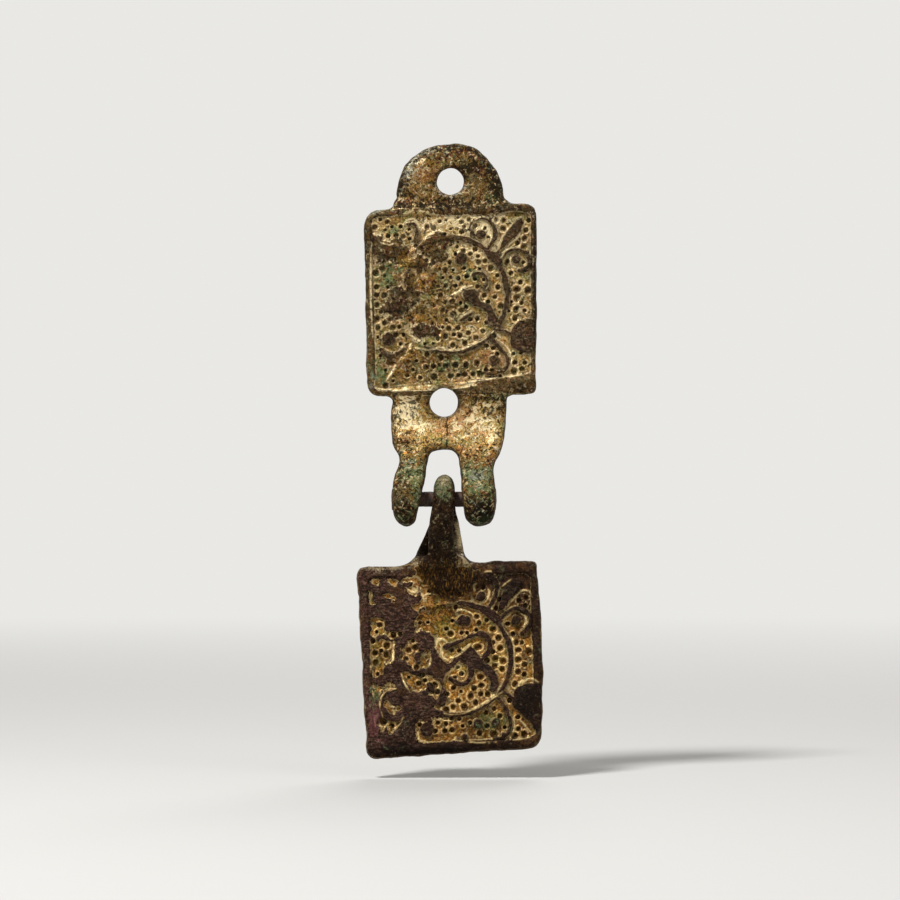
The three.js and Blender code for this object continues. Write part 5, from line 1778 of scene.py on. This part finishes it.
class Casting(Shader):
    """The layers of a casting's surface, over the noises that they share."""

    def __init__(self, name, palette):
        super().__init__(name)
        self.palette = palette
        self.noises = {key: self.grain(*settings) for key, settings in CASTING_NOISES.items()}
        self.fine_tone = self.between(self.noises["fine"], NOISE_SPAN)

    def blend(self, name, *more, offset=0.0):
        """A weighted sum of shared noises, and of more (value, weight) terms."""
        terms = [(self.noises[noise], weight) for noise, weight in CASTING_BLENDS[name]]
        return self.weigh(*terms, *more, offset=offset)

    def step_of(self, value, name):
        """A value, or a shared noise given by its name, over the span of a name."""
        value = self.noises[value] if isinstance(value, str) else value
        return self.between(value, SPANS[name], LEVELS.get(name, (0.0, 1.0)))

    def covered(self, name, noise):
        """Where a painted finish covers the surface."""
        return self.share_of(self.painted(name), noise, SOFTNESS[name])

    def tone(self, value, name):
        """The colours of the palette under a name, along a value."""
        return self.ramp(value, self.palette[name])

    def bare_metal(self):
        """Brown metal, darker where it is painted dark."""
        brushed = self.step_of(self.blend("brushed"), "brushed")
        return self.mix(
            self.covered("dark", self.noises["broad"]),
            self.tone(self.between(self.noises["middle"], NOISE_SPAN), "brown"),
            self.tone(brushed, "dark"))

    def gilt_edge(self, depth):
        """The broken bright edge where the gilding begins, kept gold with a painted highlight."""
        end = self.step_of(depth, "edge_end")
        edge = self.times(self.step_of(depth, "edge"), self.rest(end))
        return self.times(edge, self.step_of("middle", "edge_breaks"))

    def bright_spots(self, edge):
        """Where the gilding is bright, burnished or with a painted highlight on lips, ridges and edges, and
        the bright lines alone.
        """
        lip = self.times(self.painted("lip"), self.step_of("middle", "lip"))
        ridge_highlight = self.times(self.painted("ridge_highlight"), self.step_of("fine", "ridge_highlight"))
        raised = self.larger(self.times(lip, COVER["lip"]), self.times(ridge_highlight, COVER["ridge_highlight"]))
        bright = self.larger(edge, raised)
        bright = self.times(bright, self.rest(self.painted("dull"), LIFT_LOST_TO_DULL))
        line = self.times(self.painted("line"), self.step_of("middle", "line"))
        bright = self.larger(bright, line)
        bright = self.larger(bright, self.covered("polish_and_highlight", self.noises["middle"]))
        return bright, line

    def gilding(self, edge):
        """The gilding's colour with its painted highlights, where it is bright, and the bright lines alone.
        """
        grain = self.step_of(self.blend("gold"), "gold")
        gold = self.mix(
            self.covered("dull", self.noises["middle"]),
            self.tone(grain, "gold"), self.tone(grain, "dull"))
        bright, line = self.bright_spots(edge)
        heat = (self.painted("warm"), HEAT_PULL)
        for name in ("warm", "olive"):
            share = self.step_of(self.blend(name, heat), name)
            gold = self.mix(share, gold, self.tone(grain, name))
        # burnished gold and the painted highlights in one bright colour
        gold = self.mix(self.times(bright, COVER["bright"]), gold, shade(self.palette["bright"]))
        return gold, bright, line

    def corroded(self, colour, bright):
        """The colour under streaks, crust, tarnishing with painted shade, stains, green, and pale corrosion
        with painted highlights.
        """
        streaks = self.tone(self.step_of("streaked", "streaks"), "dull")
        colour = self.mix(self.times(self.painted("streaks"), COVER["streaks"]), colour, streaks)
        crust = self.covered("crust", self.noises["middle"])
        patches = self.step_of(self.blend("crust"), "crust")
        colour = self.mix(self.times(crust, COVER["crust"]), colour, self.tone(patches, "crust"))
        # darkening that is tarnishing, and painted shade on rims, the stem and the arms' lower ends
        tarnish_and_shade = self.times(self.painted("tarnish_and_shade"), COVER["tarnish_and_shade"])
        colour = self.mix(tarnish_and_shade, colour, shade(self.palette["dirt_and_shade"]))
        mottle = self.painted("mottle")
        stained = self.times(self.times(mottle, COVER["stains"]), self.rest(tarnish_and_shade))
        kinds = self.between(self.noises["kinds"], NOISE_SPAN)
        colour = self.mix(stained, colour, self.tone(kinds, "hues"))
        amount = self.weigh((self.painted("green"), 1.0), (bright, BRIGHT_GREEN))
        green = self.share_of(amount, self.blend("green"), SOFTNESS["green"])
        green = self.times(green, self.step_of("specks", "green"))
        colour = self.mix(green, colour, self.tone(self.fine_tone, "green"))
        pale = self.covered("pale", self.blend("patchy"))
        colour = self.mix(self.times(pale, COVER["pale"]), colour, self.tone(self.fine_tone, "pale"))
        return colour, tarnish_and_shade, mottle, green

    def gritty(self, colour, tarnish_and_shade, mottle):
        """The colour under light flecks and dark specks."""
        grit = self.blend("grit")
        light = self.times(mottle, self.step_of(grit, "flecks"))
        light = self.times(light, self.rest(tarnish_and_shade, FLECKS_LOST_TO_TARNISH_AND_SHADE))
        colour = self.mix(light, colour, self.tone(self.fine_tone, "flecks"))
        dark = self.covered("grit", self.rest(grit))
        return self.mix(self.times(dark, COVER["grit"]), colour, shade(self.palette["dirt_and_shade"]))

    def grimed_and_shaded(self, colour, bright):
        """The colour under grime in the dots, painted shade and grime in the hollows, and the fine speckle
        all over.
        """
        filled = self.rest(self.painted("dull"), PITS_LOST_TO_DULL)
        dirt_and_shade = self.times(self.painted("pit"), filled)
        dirt_and_shade = self.larger(dirt_and_shade, self.times(self.painted("cavity_shade_and_dirt"), COVER["cavity_shade_and_dirt"]))
        dirt_and_shade = self.times(dirt_and_shade, self.step_of("middle", "dirt_and_shade"))
        colour = self.mix(dirt_and_shade, colour, shade(self.palette["dirt_and_shade"]))
        speckle = self.step_of(self.blend("speckle"), "speckle")
        speckle = self.times(speckle, self.rest(bright, SPECKLE_LOST_TO_BRIGHT))
        return self.mix(self.times(speckle, COVER["speckle"]), colour, shade(self.palette["dirt_and_shade"]))

    def finish(self, colour, shiny):
        """Sets the surface's colour, shine and fine relief."""
        inputs = self.surface.inputs
        self.link(colour, inputs["Base Color"])
        self.link(self.mix_value(shiny, 0.0, GILDED_METALLIC), inputs["Metallic"])
        rough = self.mix_value(shiny, BARE_ROUGHNESS, GILDED_ROUGHNESS)
        grain = (self.fine_tone, ROUGHNESS_GRAIN)
        rough = self.weigh((rough, 1.0), grain, offset=-ROUGHNESS_GRAIN / 2)
        self.link(rough, inputs["Roughness"])
        inputs["Specular IOR Level"].default_value = CASTING_SPECULAR
        pitted = self.bump(self.blend("pitted"), PITTED_DEPTH, CASTING_BUMP)
        self.link(self.bump(self.blend("rough"), ROUGH_DEPTH, CASTING_BUMP, pitted), inputs["Normal"])


def casting_material(name, palette):
    """Worn fire gilding over a dark cast copper alloy, with corrosion, painted shade and highlights, as
    painted on the piece.
    """
    s = Casting(name, palette)
    metal = s.bare_metal()
    ragged = s.blend("ragged", offset=-NOISE_MEAN)
    reach = s.weigh((s.painted("reach"), REACH_SPAN), offset=-REACH_SPAN / 2)
    depth = s.weigh((reach, 1.0), (ragged, 1.0))
    gilt_field = s.step_of(depth, "gilt")
    gold, bright, line = s.gilding(s.gilt_edge(depth))
    kept = s.weigh((s.painted("gold"), 1.0), (bright, BRIGHT_KEPT))
    gilded = s.times(s.share_of(kept, s.blend("patchy"), SOFTNESS["gold"]), gilt_field)
    gilded = s.larger(gilded, line)
    colour, tarnish_and_shade, mottle, green = s.corroded(s.mix(gilded, metal, gold), bright)
    colour = s.grimed_and_shaded(s.gritty(colour, tarnish_and_shade, mottle), bright)
    s.finish(colour, s.times(gilded, s.rest(green)))
    return s.material


# Colours of the castings: (position, hex colour) along a noise, or one colour
MOUNT_PALETTE = {
    "brown": [(0.0, "#20170f"), (0.5, "#4a3822"), (1.0, "#7a6040")],
    "dark": [(0.0, "#140c0a"), (0.5, "#3a2a21"), (1.0, "#705847")],
    "gold": [(0.0, "#382811"), (0.35, "#846430"), (0.7, "#c09a55"), (1.0, "#f8db9e")],
    "dull": [(0.0, "#241c0e"), (0.4, "#574725"), (0.75, "#877039"), (1.0, "#bda067")],
    "warm": [(0.0, "#432817"), (0.35, "#96643c"), (0.7, "#cf9468"), (1.0, "#f6cdaa")],
    "olive": [(0.0, "#26260f"), (0.35, "#65642c"), (0.7, "#a09a52"), (1.0, "#e0d898")],
    # burnished gold, also used for the painted highlights on lips, ridges, lines and edges
    "bright": "#ffe9b8",
    "crust": [(0.0, "#1d1513"), (0.25, "#543112"), (0.5, "#9a6014"), (0.7, "#70692a"),
              (1.0, "#dab256")],
    "hues": [(0.0, "#4a2c33"), (0.2, "#995218"), (0.38, "#b98a2e"), (0.55, "#58602a"),
             (0.7, "#9c6f33"), (0.85, "#6f8052"), (1.0, "#c29a62")],
    "flecks": [(0.0, "#b98d58"), (0.5, "#d3c296"), (1.0, "#f0ead2")],
    "green": [(0.0, "#1e2a14"), (0.5, "#566a3c"), (1.0, "#98ab80")],
    "pale": [(0.0, "#5a5c50"), (0.6, "#a09f8b"), (1.0, "#d6cfba")],
    # the colour of grime, also used for painted shade in hollows and on rims
    "dirt_and_shade": "#0c0703",
}
PENDANT_PALETTE = {
    "brown": [(0.0, "#140b06"), (0.5, "#3c2515"), (1.0, "#664528")],
    "dark": [(0.0, "#0d0605"), (0.5, "#36221b"), (1.0, "#745446")],
    "gold": [(0.0, "#2a1606"), (0.35, "#774916"), (0.7, "#b4782a"), (1.0, "#f0bb60")],
    "dull": [(0.0, "#120a03"), (0.4, "#482c0d"), (0.75, "#80571c"), (1.0, "#b48840")],
    "warm": [(0.0, "#331d0c"), (0.35, "#7d4f26"), (0.7, "#b37d45"), (1.0, "#dfb07a")],
    "olive": [(0.0, "#201b08"), (0.35, "#5c4f1c"), (0.7, "#98812f"), (1.0, "#d6bf68")],
    # burnished gold, also used for the painted highlights on lips, ridges, lines and edges
    "bright": "#f8dc9e",
    "crust": [(0.0, "#3a1c1e"), (0.6, "#774644"), (1.0, "#a0706a")],
    "hues": [(0.0, "#3a221c"), (0.35, "#3d2c12"), (0.65, "#2c2e1a"), (1.0, "#4d4a38")],
    "flecks": [(0.0, "#6b4f35"), (0.5, "#857a58"), (1.0, "#c0b796")],
    "green": [(0.0, "#1c220f"), (0.5, "#4f5c37"), (1.0, "#97a97c")],
    "pale": [(0.0, "#5e5441"), (0.6, "#a4916e"), (1.0, "#d6c49e")],
    # the colour of grime, also used for painted shade in hollows, on rims and on the stem
    "dirt_and_shade": "#090502",
}


# The bar's iron: its noises, colours, rust, shine and fine relief
IRON_FINE = (0.2, 4.0, 0.5)
IRON_MIDDLE = (0.8, 3.0, 0.4)
IRON_COLOURS = [(0.0, "#1c1512"), (0.55, "#33241b"), (1.0, "#4d3626")]
RUST_COLOUR = "#5c3a22"
RUST_SPAN = (0.5, 0.66)
IRON_METALLIC = 0.3
IRON_ROUGHNESS = (0.55, 0.8)
IRON_DEPTH = 0.06
IRON_BUMP = 0.8


def iron_material():
    """Corroded iron, brown with rust."""
    s = Shader("corroded_iron")
    fine = s.grain(*IRON_FINE)
    middle = s.grain(*IRON_MIDDLE)
    colour = s.ramp(s.between(middle, NOISE_SPAN), IRON_COLOURS)
    colour = s.mix(s.between(fine, RUST_SPAN), colour, shade(RUST_COLOUR))
    s.link(colour, s.surface.inputs["Base Color"])
    s.surface.inputs["Metallic"].default_value = IRON_METALLIC
    s.link(s.between(fine, NOISE_SPAN, IRON_ROUGHNESS), s.surface.inputs["Roughness"])
    s.link(s.bump(fine, IRON_DEPTH, IRON_BUMP), s.surface.inputs["Normal"])
    return s.material


# The pieces

step = STEP
in_place = Matrix.Scale(MM, 4)
hung = (Matrix.Translation(pivot) @ Matrix.Rotation(-HANG, 4, "X") @ Matrix.Rotation(-LEAN, 4, "Y")
        @ in_place)


def casting(name, solid, painting, placing, material, node, body):
    """One casting: meshed, thinned behind, painted, placed and fixed to its body."""
    axes, values, relief, masks = solid(step)
    piece = solid_object(name, axes, values)
    behind = vertex_values(piece, "normal")[:, 1] > FLAT_BACK
    thin_out(piece, behind, THINNED_SHARE)
    dress(piece, relief, painting(relief, masks, step))
    piece.data.transform(placing)
    piece.data.materials.append(material)
    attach(piece, body)
    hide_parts(node)
    return piece


mount = casting(
    "mount_casting", mount_solid, mount_paint, in_place,
    casting_material("gilded_mount_surface", MOUNT_PALETTE), "suspension_mount", "mount")

pendant = casting(
    "pendant_casting", pendant_solid, pendant_paint, hung,
    casting_material("worn_pendant_surface", PENDANT_PALETTE), "pendant", "pendant")

bar = solid_object("iron_bar", *bar_solid(step))
bar.data.transform(in_place)
bar.data.materials.append(iron_material())
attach(bar, "mount")
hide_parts("axis_bar")


# Floor, background, lamps and camera

def pale_floor(height):
    """A round floor that takes the object's shadow near by and meets the background far off."""
    bpy.ops.mesh.primitive_circle_add(vertices=FLOOR_SIDES, radius=FLOOR_RADIUS, fill_type="NGON")
    floor = bpy.context.object
    floor.name = "floor"
    floor.location.z = height
    material = bpy.data.materials.new("floor_card")
    material.use_nodes = True
    tree = material.node_tree
    surface = tree.nodes["Principled BSDF"]
    surface.inputs["Base Color"].default_value = shade(FLOOR_COLOUR)
    surface.inputs["Roughness"].default_value = FLOOR_ROUGHNESS
    surface.inputs["Specular IOR Level"].default_value = FLOOR_SPECULAR
    coordinates = tree.nodes.new("ShaderNodeTexCoord")
    length = tree.nodes.new("ShaderNodeVectorMath")
    length.operation = "LENGTH"
    tree.links.new(coordinates.outputs["Object"], length.inputs[0])
    far = tree.nodes.new("ShaderNodeMapRange")
    far.interpolation_type = "SMOOTHSTEP"
    far.inputs["From Min"].default_value = FADE_RADII[0]
    far.inputs["From Max"].default_value = FADE_RADII[1]
    tree.links.new(length.outputs["Value"], far.inputs["Value"])
    glow = tree.nodes.new("ShaderNodeEmission")
    glow.inputs["Color"].default_value = shade(BACKGROUND)
    both = tree.nodes.new("ShaderNodeMixShader")
    tree.links.new(far.outputs["Result"], both.inputs[0])
    tree.links.new(surface.outputs[0], both.inputs[1])
    tree.links.new(glow.outputs[0], both.inputs[2])
    tree.links.new(both.outputs[0], tree.nodes["Material Output"].inputs["Surface"])
    floor.data.materials.append(material)


def surroundings(strength):
    """A pale background for what the camera and reflections see, and a plain level of light."""
    world = bpy.data.worlds.new("pale")
    world.use_nodes = True
    tree = world.node_tree
    background = tree.nodes["Background"]
    background.inputs["Color"].default_value = shade(BACKGROUND)
    path = tree.nodes.new("ShaderNodeLightPath")
    seen = path.outputs["Is Camera Ray"]
    for name in ("Is Glossy Ray", "Is Transmission Ray"):
        either = tree.nodes.new("ShaderNodeMath")
        either.operation = "MAXIMUM"
        tree.links.new(seen, either.inputs[0])
        tree.links.new(path.outputs[name], either.inputs[1])
        seen = either.outputs[0]
    level = tree.nodes.new("ShaderNodeMapRange")
    level.inputs["To Min"].default_value = strength
    level.inputs["To Max"].default_value = 1.0
    tree.links.new(seen, level.inputs["Value"])
    tree.links.new(level.outputs["Result"], background.inputs["Strength"])
    bpy.context.scene.world = world


def soft_lamp(name, place, target, size, watts):
    """A square area lamp in metres, aimed at the target."""
    data = bpy.data.lights.new(name, "AREA")
    data.size = size
    data.energy = watts
    lamp = bpy.data.objects.new(name, data)
    bpy.context.collection.objects.link(lamp)
    lamp.location = place
    lamp.rotation_euler = (Vector(target) - Vector(place)).to_track_quat("-Z", "Y").to_euler()


def photo_camera():
    """Square on to the plates, framed as the photograph."""
    middle_x = (IMAGE_PIXELS / 2 - ORIGIN_PIXEL[0]) * PIXEL * MM
    middle_z = (ORIGIN_PIXEL[1] - IMAGE_PIXELS / 2) * PIXEL * MM
    data = bpy.data.cameras.new("photo_camera")
    data.sensor_width = SENSOR
    data.lens = SENSOR * CAMERA_DISTANCE / (IMAGE_PIXELS * PIXEL * MM)
    data.clip_start = NEAR_CLIP
    camera = bpy.data.objects.new("photo_camera", data)
    bpy.context.collection.objects.link(camera)
    camera.location = (middle_x, -CAMERA_DISTANCE - PLATE_THICKNESS * MM, middle_z)
    camera.rotation_euler = (math.radians(90), 0, 0)
    bpy.context.scene.camera = camera


middle = Vector((0.0, 0.0, (cad_box[0][2] + cad_box[1][2]) / 2))
pale_floor(cad_box[0][2] - FLOOR_GAP * MM)
surroundings(AMBIENT)
for name, place, size, watts in LAMPS:
    soft_lamp(name, place, middle, size, watts)
photo_camera()
bpy.context.scene.view_settings.view_transform = "Standard"
